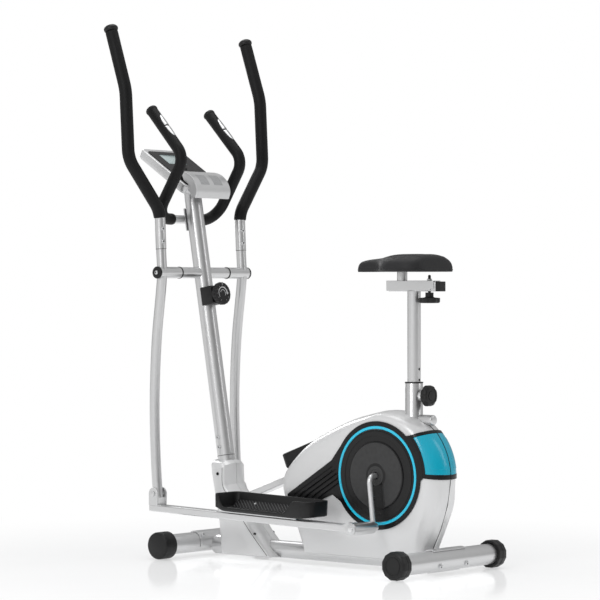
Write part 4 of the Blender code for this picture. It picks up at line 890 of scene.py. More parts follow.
def build_crank(side, word):
    """A crank arm with its disc, and the fixed ring round the disc."""
    pin_x, pin_z = crank_pin(side)
    face = HOUSING_HALF + GAP
    out = (0, side, 0)
    bar = rounded([(CRANK_X, side * face, CRANK_Z), (CRANK_X, side * CRANK_Y, CRANK_Z),
                   (pin_x, side * CRANK_Y, pin_z)], (0.019,), 12)
    add(f"crank_bar_{word}", tube(bar, 0.0078, 36), BRIGHT, "crank", [f"crank_arm_{word}"])
    profile = soften([(TINY, -0.0079), (0.0125, -0.0079), (0.0125, 0.0079), (TINY, 0.0079)], 0.0012)
    add(f"crank_boss_{word}", turned(profile, (pin_x, side * CRANK_Y, pin_z), out, 48), BRIGHT, "crank")

    def ring_piece(name, profile, mat, body="crank", hides=(), smooth=40):
        shape = turned(profile, (CRANK_X, side * face, CRANK_Z), out, ROUND, ring=True)
        return add(f"{name}_{word}", shape, mat, body, hides, smooth)

    rim = DISC_R - 0.0015
    profile = [(0.0120, 0.0), (rim - 0.0006, 0.0), (rim, 0.0008), (rim, 0.0038), (rim - 0.0010, 0.0047),
               (0.1255, 0.0050), (0.1245, 0.0042), (0.1225, 0.0042), (0.1215, 0.0051), (0.0960, 0.0054),
               (0.0940, 0.0072), (0.0925, 0.0078), (0.0360, 0.0078), (0.0335, 0.0090), (0.0320, 0.0098),
               (0.0180, 0.0098), (0.0160, 0.0090), (0.0120, 0.0090)]
    disc = ring_piece("crank_cover", profile, BLACK, hides=[f"crank_disc_{word}"], smooth=30)
    reach = Vector((pin_x - CRANK_X, pin_z - CRANK_Z)).normalized()
    across = Vector((-reach.y, reach.x))
    # The channel under the crank arm is cut through the grey plate so it shows black: partly a real recess,
    # partly painted shadow of the arm.
    channel = plate(channel_outline(reach, across, 0.0, 0.020), *pair(side, face + 0.0026, face + 0.03))
    cut(disc, [channel])
    profile = soften([(0.0300, 0.0050), (0.0920, 0.0050), (0.0920, 0.0084), (0.0300, 0.0084)], 0.0006,
                     closed=True)
    cut(ring_piece("disc_plate", profile, DISC, smooth=30), [channel])
    ring_piece("disc_groove", [(0.0930, 0.0030), (0.0930, 0.0079), (0.0952, 0.0079), (0.0965, 0.0056),
                               (0.0965, 0.0030)], GLOSS)
    profile = [(0.1120, 0.0040), (0.1245, 0.0040), (0.1245, 0.0062), (0.1120, 0.0062)]
    ring_piece("disc_band", soften(profile, 0.0006, closed=True), BLACK)
    profile = [(0.0105, 0.0030), (0.0275, 0.0030), (0.0275, 0.0094), (0.0255, 0.0106), (0.0190, 0.0108),
               (0.0175, 0.0094), (0.0105, 0.0094)]
    ring_piece("disc_hub", soften(profile, 0.0006, closed=True), DISC)
    # Gloss-black floor of the channel: partly a real recess, partly painted shadow of the crank arm.
    inset = channel_outline(reach, across, 0.010, 0.0188)
    add(f"disc_channel_{word}", plate(inset, *pair(side, face + 0.0020, face + 0.0030)), GLOSS, "crank")
    for k, b in enumerate((-0.0225, 0.0225)):
        line = [Vector((CRANK_X, 0, CRANK_Z)) + Vector((reach.x, 0, reach.y)) * a
                + Vector((across.x, 0, across.y)) * b
                + Vector((0, side * (face + 0.0074), 0)) for a in (0.018, 0.090)]
        add(f"channel_rib_{word}_{k}", tube(line, 0.0016, 12), BLACK, "crank")
    inner, outer = DISC_R - 0.0004, RING_R + 0.0010
    profile = [(inner, 0.0), (outer, 0.0), (outer, 0.0030), (outer - 0.0012, 0.0042),
               (inner + 0.0012, 0.0042), (inner, 0.0030)]
    ring_piece("ring", profile, RING, "frame", [f"accent_ring_{word}"])


def rail_place(side):
    """The matrix from a rail's own frame, at its knee, to the machine's."""
    pin_x, pin_z = crank_pin(side)
    aim = math.atan2(pin_z - KNEE_Z, pin_x - KNEE_X)
    tilt = aim + math.atan2(RAIL_DROP, RAIL_REACH)
    return Matrix.Translation((KNEE_X, side * ARM_Y, KNEE_Z)) @ Matrix.Rotation(-tilt, 4, "Y")


def tray_ring(side, grow, height):
    """A ring round the pedal: rounded corners, larger at the outer rear."""
    x0, x1 = PEDAL_X
    y_in, y_out = PEDAL_Y[0] - ARM_Y, PEDAL_Y[1] - ARM_Y
    ring = []
    for cx, cy, sx, sy, r in ((x1, y_out, -1, -1, 0.034), (x0, y_out, 1, -1, 0.018),
                              (x0, y_in, 1, 1, 0.020), (x1, y_in, -1, 1, 0.026)):
        rr = max(r - grow, 0.003)
        mx, my = cx + sx * (grow + rr), cy + sy * (grow + rr)
        first = {(-1, -1): 0, (1, -1): 90, (1, 1): 180, (-1, 1): 270}[(sx, sy)]
        for k in range(9):
            t = math.radians(first + 90 * k / 8)
            ring.append((mx + rr * math.cos(t), my + rr * math.sin(t)))
    out = []
    for a, b in zip(ring, ring[1:] + ring[:1]):
        out.append(a)
        gap = math.hypot(b[0] - a[0], b[1] - a[1])
        for k in range(1, int(gap / 0.008)):
            f = k / int(gap / 0.008)
            out.append((a[0] + (b[0] - a[0]) * f, a[1] + (b[1] - a[1]) * f))
    return [Vector((x, side * y, height(x, y) if callable(height) else height)) for x, y in out]


def ease(v):
    """A smooth step from 0 to 1."""
    v = max(0.0, min(1.0, v))
    return v * v * (3 - 2 * v)


def build_rail(side, word):
    """A pedal rail with its ears, sleeve and pins, and the tray pedal on it."""
    place = rail_place(side)
    body = f"rail_{word}"
    top, bottom, half = -RAIL_DROP + RAIL_H / 2, -RAIL_DROP - RAIL_H / 2, RAIL_W / 2
    end = RAIL_REACH - PIN_SLEEVE_R - 0.004
    add(f"rail_bar_{word}", block((-0.017, -half, bottom), (end, half, top)), STEEL, body,
        [f"pedal_rail_{word}"], at=place, bevel=0.0035)
    inner = ARM_R + 0.0012
    for k, sign in enumerate((-1, 1)):
        outline = [(0.018, top - 0.002), (0.018, 0.0)] + arc((0, 0), 0.018, 12, 168, 14) + [(-0.0178, 0.0),
                (-0.0168, top - 0.002)]
        low, high = sorted((sign * inner, sign * (inner + 0.0045)))
        add(f"rail_ear_{word}_{k}", plate(outline, low, high), STEEL, body, at=place, bevel=0.0008)
    sleeve_low = side * (PIN_SLEEVE_Y[0] - ARM_Y)
    length = PIN_SLEEVE_Y[1] - PIN_SLEEVE_Y[0]
    profile = soften([(0.0112, 0.0), (PIN_SLEEVE_R, 0.0), (PIN_SLEEVE_R, length), (0.0112, length)], 0.0012,
                     closed=True)
    add(f"rail_sleeve_{word}",
        turned(profile, (RAIL_REACH, sleeve_low, -RAIL_DROP), (0, side, 0), 56, ring=True), STEEL, body,
        at=place)
    outline = [(end - 0.022, bottom + 0.002), (end - 0.022, top - 0.002),
               (end + 0.004, -RAIL_DROP + PIN_SLEEVE_R - 0.0010),
               (RAIL_REACH, -RAIL_DROP + PIN_SLEEVE_R - 0.0012),
               (RAIL_REACH, -RAIL_DROP - PIN_SLEEVE_R + 0.0012),
               (end + 0.004, -RAIL_DROP - PIN_SLEEVE_R + 0.0010)]
    heel = add(f"rail_heel_{word}", plate(outline, -half + 0.001, half - 0.001), STEEL, body, at=place)
    tool = tube([(RAIL_REACH, -0.1, -RAIL_DROP), (RAIL_REACH, 0.1, -RAIL_DROP)], PIN_SLEEVE_R - 0.001, 48)
    cut(heel, [placed(tool, place)])
    profile = soften([(TINY, -inner - 0.0084), (0.0075, -inner - 0.0084), (0.0075, inner + 0.0084),
                      (TINY, inner + 0.0084)], 0.0012)
    add(f"knee_pin_{word}", turned(profile, (0, 0, 0), (0, 1, 0), 40), STEEL, body, at=place)
    profile = soften([(TINY, 0.0), (0.0108, 0.0), (0.0108, length + 0.0005), (0.0150, length + 0.0005),
                      (0.0150, length + 0.0030), (TINY, length + 0.0033)], 0.0008)
    add(f"crank_pin_{word}_look", turned(profile, (RAIL_REACH, sleeve_low, -RAIL_DROP), (0, side, 0), 48),
        CHROME, body, [f"crank_pin_{word}"], at=place)

    out = Vector((-0.55, 0, 0.84))
    at = Vector((RAIL_REACH - 0.012, side * 0.012, -RAIL_DROP + 0.0150))
    add(f"pinch_bolt_{word}",
        turned(soften([(TINY, -0.004), (0.0052, -0.004), (0.0052, 0.0040), (TINY, 0.0044)], 0.0008), at,
               out, 6), CHROME, body, at=place, smooth=20)
    add(f"pin_hex_{word}",
        turned(soften([(TINY, 0.0), (0.0076, 0.0), (0.0076, 0.0030), (TINY, 0.0034)], 0.0008),
               (RAIL_REACH, sleeve_low + side * (length + 0.0030), -RAIL_DROP),
               (0, side, 0), 6), BRIGHT, body, at=place, smooth=20)
    x0, x1 = PEDAL_X
    y_in, y_out = PEDAL_Y[0] - ARM_Y, PEDAL_Y[1] - ARM_Y
    base = top + 0.0045
    rim, low_rim, floor = base + 0.0498, base + 0.0125, base + 0.0060

    def height(x, y):
        outer = ease((y - (y_out - 0.020)) / 0.010)
        run = ease((x - (x0 + 0.010)) / 0.028) * ease(((x1 - 0.052) - x) / 0.042)
        return rim - (rim - low_rim) * outer * run

    def lowered(drop):
        return lambda x, y: height(x, y) - drop

    def under(rise):
        return lambda x, y: (base + rise + 0.0105 * (1 - ease((x - x0 - 0.004) / 0.036))
                             * (1 if rise < 0.004 else 0.6)
                             + 0.0050 * ease((x - x1 + 0.045) / 0.045) * (1 if rise < 0.004 else 0.6))

    rings = [tray_ring(side, 0.0080, under(0.0)), tray_ring(side, 0.0035, under(0.0012)),
             tray_ring(side, 0.0012, under(0.0050)),
             tray_ring(side, 0.0, lowered(0.0030)), tray_ring(side, 0.0006, lowered(0.0010)),
             tray_ring(side, 0.0020, height),
             tray_ring(side, 0.0040, height), tray_ring(side, 0.0054, lowered(0.0010)),
             tray_ring(side, 0.0062, lowered(0.0035)),
             tray_ring(side, 0.0080, floor + 0.0060), tray_ring(side, 0.0105, floor + 0.0012),
             tray_ring(side, 0.0135, floor)]
    add(f"pedal_tray_{word}", stitch(rings), TREAD, body, [f"pedal_{word}"], at=place, smooth=45)
    xa, xb = x0 + 0.014, x1 - 0.046
    low_y, high_y = y_in + 0.034, y_in + 0.0072
    rise = 0.0215
    wedge = [(low_y, floor - 0.0004), (high_y, floor + rise), (high_y - 0.003, floor + rise),
             (high_y - 0.003, floor - 0.0004)]
    add(f"pedal_slope_{word}",
        stitch([[Vector((x, side * y, z)) for y, z in wedge] for x in (xa - 0.004, xb + 0.006)]), TREAD,
        body, at=place, bevel=0.0015)
    lifted = Vector((0, rise, low_y - high_y)).normalized()
    step, k = 0.0118, 0
    while xa + 0.010 + step * k < xb:
        foot_x = xa + 0.010 + step * k
        rings = []
        far = min(0.94, (foot_x - xa) / 0.040)
        for share in (0.04, 0.10, far - 0.06, far):
            p = Vector((foot_x - 0.040 * share, low_y + (high_y - low_y) * share, floor + rise * share))
            size = 1.0 if 0.05 < share < far else 0.35
            half_wide = 0.0018
            ring = [p + Vector((half_wide, 0, 0)) - lifted * 0.0006,
                    p + Vector((half_wide * 0.5, 0, 0)) + lifted * 0.0016 * size,
                    p - Vector((half_wide * 0.5, 0, 0)) + lifted * 0.0016 * size,
                    p - Vector((half_wide, 0, 0)) - lifted * 0.0006]
            rings.append([Vector((v.x, side * v.y, v.z)) for v in ring])
        add(f"pedal_rib_{word}_{k:02d}", stitch(rings), SLAT, body, at=place)
        k += 1
    k = 0
    while xa + step * k < xb:
        x = xa + step * k
        reach = y_out - 0.0165 - (low_y + 0.003)
        quad = [Vector((x - 0.0018, side * (low_y + 0.003), 0)),
                Vector((x + 0.0018, side * (low_y + 0.003), 0)),
                Vector((x + 0.0258, side * (low_y + 0.003 + reach), 0)),
                Vector((x + 0.0222, side * (low_y + 0.003 + reach), 0))]
        if x + 0.026 < xb + 0.012:
            rings = [[Vector((v.x, v.y, floor - 0.0006)) for v in quad],
                     [Vector((v.x, v.y, floor + 0.0020)) for v in quad]]
            add(f"pedal_floor_rib_{word}_{k:02d}", stitch(rings), SLAT, body, at=place, bevel=0.0006)
        k += 1
    for n, sx in enumerate((x0 + 0.088, x1 - 0.110)):
        p = Vector((sx, side * (low_y + (high_y - low_y) * 0.62), floor + rise * 0.62))
        facing = Vector((0, side * lifted.y, lifted.z))
        profile = soften([(TINY, 0.0), (0.0038, 0.0), (0.0038, 0.0024), (0.0030, 0.0032), (0.0014, 0.0032),
                          (0.0012, 0.0022), (TINY, 0.0022)], 0.0003)
        add(f"pedal_screw_{word}_{n}", turned(profile, p, facing, 28), CHROME, body, at=place)
    foot = [round_rect(x0 + 0.012 + g, x1 - 0.060 - g, -0.0165 + g, 0.0165 - g, 0.004, z)
            for g, z in ((0.0, top + 0.0002), (0.0, base + 0.002))]
    add(f"pedal_bracket_{word}", stitch(foot), BRIGHT, body, at=place)
    wedge = [(x0 - 0.004, top + 0.0004), (x0 + 0.020, base + 0.0030), (x0 + 0.045, base + 0.0030),
             (x0 + 0.045, top + 0.0004)]
    add(f"pedal_wedge_{word}", plate(wedge, -0.017, 0.017), BRIGHT, body, at=place, bevel=0.0005)


# ---------------------------------------------------------------- housing

def housing_outlines():
    """The housing's outline at its seam and at its flat side, and the lower edge between them."""
    seam = arc(SEAM_CENTRE, SEAM_R, 104, -4, 14)
    seam += [(0.612, 0.190), (0.590, 0.125), (0.566, 0.075), (0.546, 0.030), (0.118, 0.030), (0.103, 0.075),
             (0.087, 0.125), (0.052, 0.185), (0.0445, 0.240), (0.0585, 0.281), (0.125, 0.343),
             (0.205, 0.385), (0.300, 0.423)]
    flat = arc((CRANK_X, CRANK_Z), FLAT_R, 104, -4, 14)
    flat += [(0.563, 0.205), (0.545, 0.155), (0.520, 0.120), (0.500, 0.112), (0.150, 0.112), (0.128, 0.125),
             (0.110, 0.145), (0.083, 0.180), (0.079, 0.206), (0.095, 0.234), (0.160, 0.292), (0.235, 0.340),
             (0.312, 0.385)]
    skirt = [(0.609, 0.190), (0.584, 0.125), (0.562, 0.075), (0.544, 0.031), (0.127, 0.031), (0.113, 0.075),
             (0.099, 0.119), (0.066, 0.185)]
    return seam, flat, skirt


def refine_closed(outline):
    """A smooth closed curve through the points, except along long straight runs and at marked corners."""
    count = len(outline)
    out = []
    for i in range(count):
        four = [Vector(outline[(i + k) % count]) for k in (-1, 0, 1, 2)]
        sharp = i in (17, 18, 19) or (four[1] - four[2]).length > 0.2
        for t in (0.0, 0.25, 0.5, 0.75):
            p = four[1].lerp(four[2], t) if sharp else between(*four, t)
            out.append((p.x, p.y))
    return out


LEVELS = range(0, 91, 6)
SHELL_WALL = 0.003
PAST_SEAM = -0.01        # how far the cavity reaches over the middle


def inset_outline(outline, depth):
    """Move each point of a closed outline inwards by about depth."""
    area = sum(a[0] * b[1] - b[0] * a[1] for a, b in zip(outline, outline[1:] + outline[:1]))
    turn = 1 if area > 0 else -1
    moved = []
    for i, (x, z) in enumerate(outline):
        before = Vector(outline[i - 1])
        after = Vector(outline[(i + 1) % len(outline)])
        along = (after - before).normalized()
        moved.append((x - along.y * depth * turn, z + along.x * depth * turn))
    return moved


def housing_solid(side, depth, wall):
    """A filled half of the housing, or with a wall the cavity inside it."""
    seam, flat, skirt = housing_outlines()
    along_at = [(0, 0.0), (34.4, 0.0), (57, 0.40), (75, 0.72), (90, 1.0)]
    rings = []
    for level in LEVELS:
        t = math.radians(level)
        outline = [Vector(a).lerp(Vector(b), 1 - math.cos(t)) for a, b in zip(seam, flat)]
        for (l0, f0), (l1, f1) in zip(along_at, along_at[1:]):
            if l0 <= level <= l1:
                along = f0 + (f1 - f0) * (level - l0) / (l1 - l0)
        blend = min(1.0, level / 20.0)
        lower = [Vector(a).lerp(Vector(b), along) for a, b in zip(skirt, flat[15:23])]
        outline[15:23] = [p.lerp(q, blend) for p, q in zip(outline[15:23], lower)]
        outline = [tuple(p) for p in outline]
        if wall:
            outline = inset_outline(outline, wall)
        outline = refine_closed(outline)
        y = GAP + (depth - GAP) * math.sin(t)
        if wall and not level:
            y = PAST_SEAM
        rings.append([Vector((p[0], side * y, p[1])) for p in outline])
    return stitch(rings)


def shell_point(angle, level, side, lift):
    """A point over the housing's round rear, at an angle in the side view and a level from the seam."""
    t, a = math.radians(level), math.radians(angle)
    seam = Vector(SEAM_CENTRE) + Vector((math.cos(a), math.sin(a))) * (SEAM_R + lift)
    flat = Vector((CRANK_X, CRANK_Z)) + Vector((math.cos(a), math.sin(a))) * (FLAT_R + lift)
    point = seam.lerp(flat, 1 - math.cos(t))
    return Vector((point.x, side * (GAP + (HOUSING_HALF + lift - GAP) * math.sin(t)), point.y))


def slab(outer, inner):
    """A curved plate between two grids of points of the same size."""
    rows, columns = len(outer), len(outer[0])
    verts = [p for grid in (outer, inner) for row in grid for p in row]
    offset = rows * columns
    faces = []
    for k in range(rows - 1):
        for i in range(columns - 1):
            a = k * columns + i
            faces.append((a, a + 1, a + columns + 1, a + columns))
            faces.append((offset + a, offset + a + columns, offset + a + columns + 1, offset + a + 1))
    rim = list(range(columns)) + [k * columns + columns - 1 for k in range(1, rows)]
    rim += [(rows - 1) * columns + i for i in range(columns - 2, -1, -1)] + [k * columns
            for k in range(rows - 2, 0, -1)]
    faces += [(a, b, offset + b, offset + a) for a, b in zip(rim, rim[1:] + rim[:1])]
    return verts, faces


def shell_strip(side, low, high, first, last, lift, under, columns=25):
    """A curved plate over the housing's rear between two angles and two levels."""
    accent = []
    for up in (lift, under):
        grid = []
        for i in range(columns):
            a = low + (high - low) * i / (columns - 1)
            grid.append([shell_point(a, first + (last - first) * k / 16, side, up) for k in range(17)])
        accent.append(grid)
    return slab(*accent)


def louvre(start, size, height, k):
    """The corners of one slat or groove of the louvre band."""
    lean = Vector((math.cos(math.radians(31.4)), math.sin(math.radians(31.4))))
    across = Vector((-lean.y, lean.x))
    start = Vector(start) + across * (-0.0130 * k) + lean * (0.0075 * k)
    return flat_points([start, start + lean * size, start + lean * size - across * height,
                        start - across * height])


def crank_hole(side, radius, sides):
    """A round tool at the crank's axis, through one side of the housing."""
    return tube([(CRANK_X, side * 0.03, CRANK_Z), (CRANK_X, side * 0.09, CRANK_Z)], radius, sides)


def build_housing(side, word):
    """Half of the housing, with its rear panel, trim and louvres."""
    shell = add(f"shell_{word}", housing_solid(side, HOUSING_HALF, 0), WHITE, "frame", [f"housing_{word}"],
                smooth=42)
    beam = tube([(-0.1, 0, BEAM_Z), (0.8, 0, BEAM_Z)], BEAM_R + CLEAR, 48)
    sleeve = tube([(SEAT_X, 0, 0.075), (SEAT_X, 0, 0.5)], SEAT_SLEEVE_R + CLEAR, 48)
    stub = tube([(SEAT_X, 0, STUB_Z), (SEAT_X + 0.12, 0, STUB_Z)], 0.0156, 40)
    axle = tube([(CRANK_X, side * 0.03, CRANK_Z), (CRANK_X, side * 0.1, CRANK_Z)], 0.0150, 40)
    cavity = housing_solid(side, HOUSING_HALF - SHELL_WALL, SHELL_WALL)
    cut(shell, [cavity, beam, sleeve, stub, axle])
    add(f"rear_panel_{word}", shell_strip(side, 4.0, 42.0, 0.6, 80, 0.0028, 0.0), CYAN, "frame",
        [f"rear_accent_{word}"], bevel=0.0008)
    add(f"rear_panel_inlay_{word}", shell_strip(side, 8.5, 37.5, 14, 66, 0.0034, 0.0010), CYAN, "frame",
        bevel=0.0006)
    for k, (low, high) in enumerate(((-0.2, 3.9), (42.1, 45.6))):
        add(f"rear_panel_edge_{word}_{k}", shell_strip(side, low, high, 0.6, 88, 0.0031, 0.0, 9), GLOSS,
            "frame", bevel=0.0010)
    add(f"rear_panel_side_{word}", shell_strip(side, -0.2, 45.6, 80.2, 90, 0.0032, 0.0, 25), GLOSS, "frame")
    wedge = arc((CRANK_X, CRANK_Z), TRIM_R - 0.001, -3.5, 49, 24) + arc((CRANK_X, CRANK_Z), FLAT_R + 0.0030,
            46, -0.5, 24)
    root = plate(wedge, *pair(side, HOUSING_HALF - 0.002, HOUSING_HALF + 0.0036))
    add(f"rear_panel_root_{word}", root, GLOSS, "frame")
    if side == LEFT:
        lifted = [(62, 46, 0.0006), (45.6, -0.2, 0.0031), (-0.6, -4, 0.0006)]
        for k, (first, last, up) in enumerate(lifted):
            line = [Vector((x, 0, z)) for x, z in arc(SEAM_CENTRE, SEAM_R + up, first, last, 20)]
            if k == 2:
                line += [Vector((x, 0, z))
                         for x, z in ((0.6128, 0.190), (0.5908, 0.125), (0.5668, 0.075), (0.5500, 0.040))]
            add(f"shell_seam_{k}", tube(line, 0.0009, 10), GLOSS, "frame")

    trim_y = HOUSING_HALF + GAP
    ring = arc((CRANK_X, CRANK_Z), TRIM_R, -40, 148, 72)
    band = [(0.250, 0.3035), (0.0880, 0.2010), (0.0868, 0.1935), (0.0900, 0.1850), (0.118, 0.150),
            (0.2540, 0.2070)]
    outline = ring + band + arc((CRANK_X, CRANK_Z), TRIM_R, 212, 320, 40)[:-1]
    shape = plate(outline, *pair(side, trim_y, trim_y + 0.0034))
    trim = add(f"trim_{word}", shape, GLOSS, "frame", [f"side_trim_{word}"])
    grooves = [crank_hole(side, RING_R + 0.0015, ROUND)]
    for k in range(5):
        grooves.append(plate(louvre((0.112, 0.2015), 0.165, 0.0055, k),
                             *pair(side, trim_y + 0.0010, trim_y + 0.02)))
    cut(trim, grooves)
    for k in range(4):
        shape = plate(louvre((0.116, 0.1945), 0.158, 0.0050, k),
                      *pair(side, trim_y + 0.0025, trim_y + 0.0060))
        fin = add(f"louvre_{word}_{k}", shape, GLOSS, "frame", bevel=0.0011)
        cut(fin, [crank_hole(side, RING_R + 0.002, 96)])
    bolt(f"shell_screw_{word}", (0.150, side * 0.0350, 0.0450), (0, side, -0.15), 0.0042, "frame", 0.0026,
         GLOSS, False)


# ---------------------------------------------------------------- seat

def build_seat():
    """The seat's column, slide, saddle and knobs."""
    low, high = SEAT_RAIL_Z
    body = "seat_column"
    post = add("column_tube",
               turned([(0.0168, 0.0), (SEAT_POST_R, 0.0), (SEAT_POST_R, low + 0.001 - 0.170),
                       (0.0168, low + 0.001 - 0.170)],
                      (SEAT_X, 0, 0.170), (0, 0, 1), 64, ring=True), STEEL, body,
               ["seat_post"])
    heights = [HOLE_TOP_Z - HOLE_STEP * k for k in range(HOLES)]
    cut(post, [tube([(SEAT_X, 0, z), (SEAT_X + 0.03, 0, z)], 0.0040, 28) for z in heights])
    # A black disc inside each hole: painted shade of the hollow column behind it.
    profile = [(TINY, 0.0), (0.0039, 0.0), (0.0039, 0.0006), (TINY, 0.0006)]
    for k, z in enumerate(heights):
        add(f"column_hole_{k}", turned(profile, (SEAT_X + 0.0172, 0, z), (1, 0, 0), 24), BLACK, body)
    half = SEAT_RAIL_HALF
    add("column_rail", block((SEAT_RAIL_X[0], -half, low), (SEAT_RAIL_X[1] - 0.0137, half, high)), STEEL,
        body, bevel=0.0022)
    plug = block((SEAT_RAIL_X[1] - 0.0135, -half - 0.0001, low - 0.0002),
                 (SEAT_RAIL_X[1] + 0.0010, half + 0.0001, high + 0.0001))
    add("rail_plug", plug, BLACK, body, bevel=0.0016)
    outer = half + GAP + 0.0024
    carriage = add("slide_channel",
                   block((0.410, -outer, low + 0.0015), (0.576, outer, high + GAP + 0.0024)), STEEL, "seat",
                   ["seat_carriage"])
    carriage_cut = [block((0.30, -half - GAP, low - 0.01), (0.7, half + GAP, high + GAP)),
                    block((0.514, -0.0048, high - 0.002), (0.5735, 0.0048, high + 0.02))]
    for side in SIDES:
        carriage_cut.append(block((0.5635, side * (half - 0.004), low - 0.01),
                                  (0.60, side * (half + 0.02), low + 0.0075)))
    cut(carriage, carriage_cut)
    soften_edges(carriage, 0.0008, 2, 40)
    add("saddle_stem",
        turned([(TINY, 0), (0.0145, 0), (0.0145, SADDLE_Z - high - 0.0028),
                (TINY, SADDLE_Z - high - 0.0028)],
               (0.454, 0, high + 0.0026), (0, 0, 1), 48), STEEL, "seat")

    sections = [(0.3030, 0.0040, 0.0050), (0.3045, 0.0105, 0.0160), (0.3075, 0.0160, 0.0225),
                (0.3140, 0.0205, 0.0288), (0.3250, 0.0240, 0.0320),
                (0.3450, 0.0270, 0.0352), (0.3650, 0.0295, 0.0370), (0.3850, 0.0345, 0.0388),
                (0.4000, 0.0430, 0.0408), (0.4130, 0.0550, 0.0436),
                (0.4250, 0.0680, 0.0450), (0.4400, 0.0810, 0.0475), (0.4550, 0.0910, 0.0491),
                (0.4750, 0.0990, 0.0500), (0.5000, 0.1035, 0.0502),
                (0.5200, 0.1040, 0.0502), (0.5370, 0.1025, 0.0500), (0.5500, 0.0980, 0.0488),
                (0.5620, 0.0905, 0.0450), (0.5700, 0.0810, 0.0380),
                (0.5745, 0.0700, 0.0260), (0.5765, 0.0580, 0.0130), (0.5770, 0.0480, 0.0060)]
    line = spline([(x, w, h) for x, w, h in sections], 3)
    rings = []
    for p in line:
        x, wide, tall = p.x, max(p.y, 0.001), max(p.z, 0.002)
        ring = []
        for t in range(0, 180, 6):
            a = math.radians(t)
            c, s = math.cos(a), math.sin(a)
            y = wide * math.copysign(abs(c) ** 0.82, c)
            lift = abs(s) ** 0.72
            dip = 0.0028 * math.exp(-(y / 0.013) ** 2) * ease((x - 0.40) / 0.05) * ease((0.56 - x) / 0.03)
            ring.append(Vector((x, y, SADDLE_Z + 0.0035 + (tall - 0.0035) * lift - dip)))
        ring.append(Vector((x, -wide, SADDLE_Z + 0.0035)))
        for share, drop in ((-0.995, 0.0012), (-0.97, 0.0002), (-0.5, 0.0), (0.0, 0.0), (0.5, 0.0),
                            (0.97, 0.0002), (0.995, 0.0012)):
            ring.append(Vector((x, wide * share, SADDLE_Z + drop)))
        rings.append(ring)
    saddle = add("saddle_cushion", stitch(rings), VINYL, "seat", ["saddle"], smooth=60)
    for side, word in SIDES.items():
        path = [Vector((p.x, side * (max(p.y, 0.001) * 0.998 + 0.0003), SADDLE_Z + 0.0060))
                for p in line[3:-3]]
        add(f"saddle_piping_{word}", tube(path, 0.0011, 10), VINYL, "seat")
        path = []
        for p in line[24:-12]:
            c = 0.62
            y = p.y * c
            a = math.acos(min(1.0, c ** (1 / 0.82)))
            path.append(Vector((p.x, side * y,
                                SADDLE_Z + 0.0035 + (p.z - 0.0035) * math.sin(a) ** 0.72 - 0.0002)))
        add(f"saddle_stitch_{word}", tube(path, 0.0008, 8), VINYL, "seat")

    profile = ((TINY, 0.0030, 0), (0.0115, 0.0030, 0), (0.0115, 0.0150, 0), (0.0150, 0.0168, 0),
               (0.0290, 0.0180, 1), (0.0300, 0.0195, 1), (0.0296, 0.0290, 1), (0.0275, 0.0320, 1),
               (0.0200, 0.0328, 0), (TINY, 0.0330, 0))
    knob = fluted(profile, 0.0026, 7, 2,
                  lambda r, t, d: Vector((CLAMP_X + r * math.cos(t), r * math.sin(t), low - d)))
    add("clamp_handle", knob, BLACK, "clamp_knob", ["seat_clamp_knob"], smooth=30)
    profile = soften([(TINY, 0), (0.0040, 0), (0.0040, 0.0485), (0.0022, 0.0510), (TINY, 0.0510)], 0.0008)
    add("clamp_stud", turned(profile, (CLAMP_X, 0, low - 0.005), (0, 0, 1), 24), GLOSS, "clamp_knob")
    profile = soften([(0.0042, 0), (0.0078, 0), (0.0078, 0.0045), (0.0042, 0.0050)], 0.0008, closed=True)
    nut = turned(profile, (CLAMP_X, 0, high + 0.0029), (0, 0, 1), 6, ring=True)
    add("clamp_nut", nut, CHROME, "seat", smooth=20)

    start = Vector((SEAT_X + SEAT_SLEEVE_R + GAP, 0, HEIGHT_KNOB_Z))
    profile = ((TINY, 0.0, 0), (0.0105, 0.0, 0), (0.0105, 0.0140, 0), (0.0140, 0.0158, 0),
               (0.0275, 0.0172, 1),
               (0.0298, 0.0200, 1), (0.0300, 0.0280, 1), (0.0280, 0.0350, 1), (0.0240, 0.0376, 0),
               (0.0200, 0.0380, 0), (0.0190, 0.0366, 0), (0.0140, 0.0366, 0), (0.0130, 0.0384, 0),
               (TINY, 0.0388, 0))
    knob = fluted(profile, 0.0020, 8, 3,
                  lambda r, t, d: start + Vector((d, r * math.cos(t), r * math.sin(t))))
    add("height_handle", knob, BLACK, "height_lock", ["height_knob"], smooth=30)
    profile = soften([(TINY, -0.002), (0.0130, -0.002), (0.0130, 0.0068), (TINY, 0.0068)], 0.001)
    boss = turned(profile, (SEAT_X + SEAT_SLEEVE_R - 0.0004, 0, HEIGHT_KNOB_Z), (1, 0, 0), 40)
    add("height_boss", boss, BRIGHT, "frame")


# ---------------------------------------------------------------- studio and camera

CAMERA_TURN = math.radians(40.025)


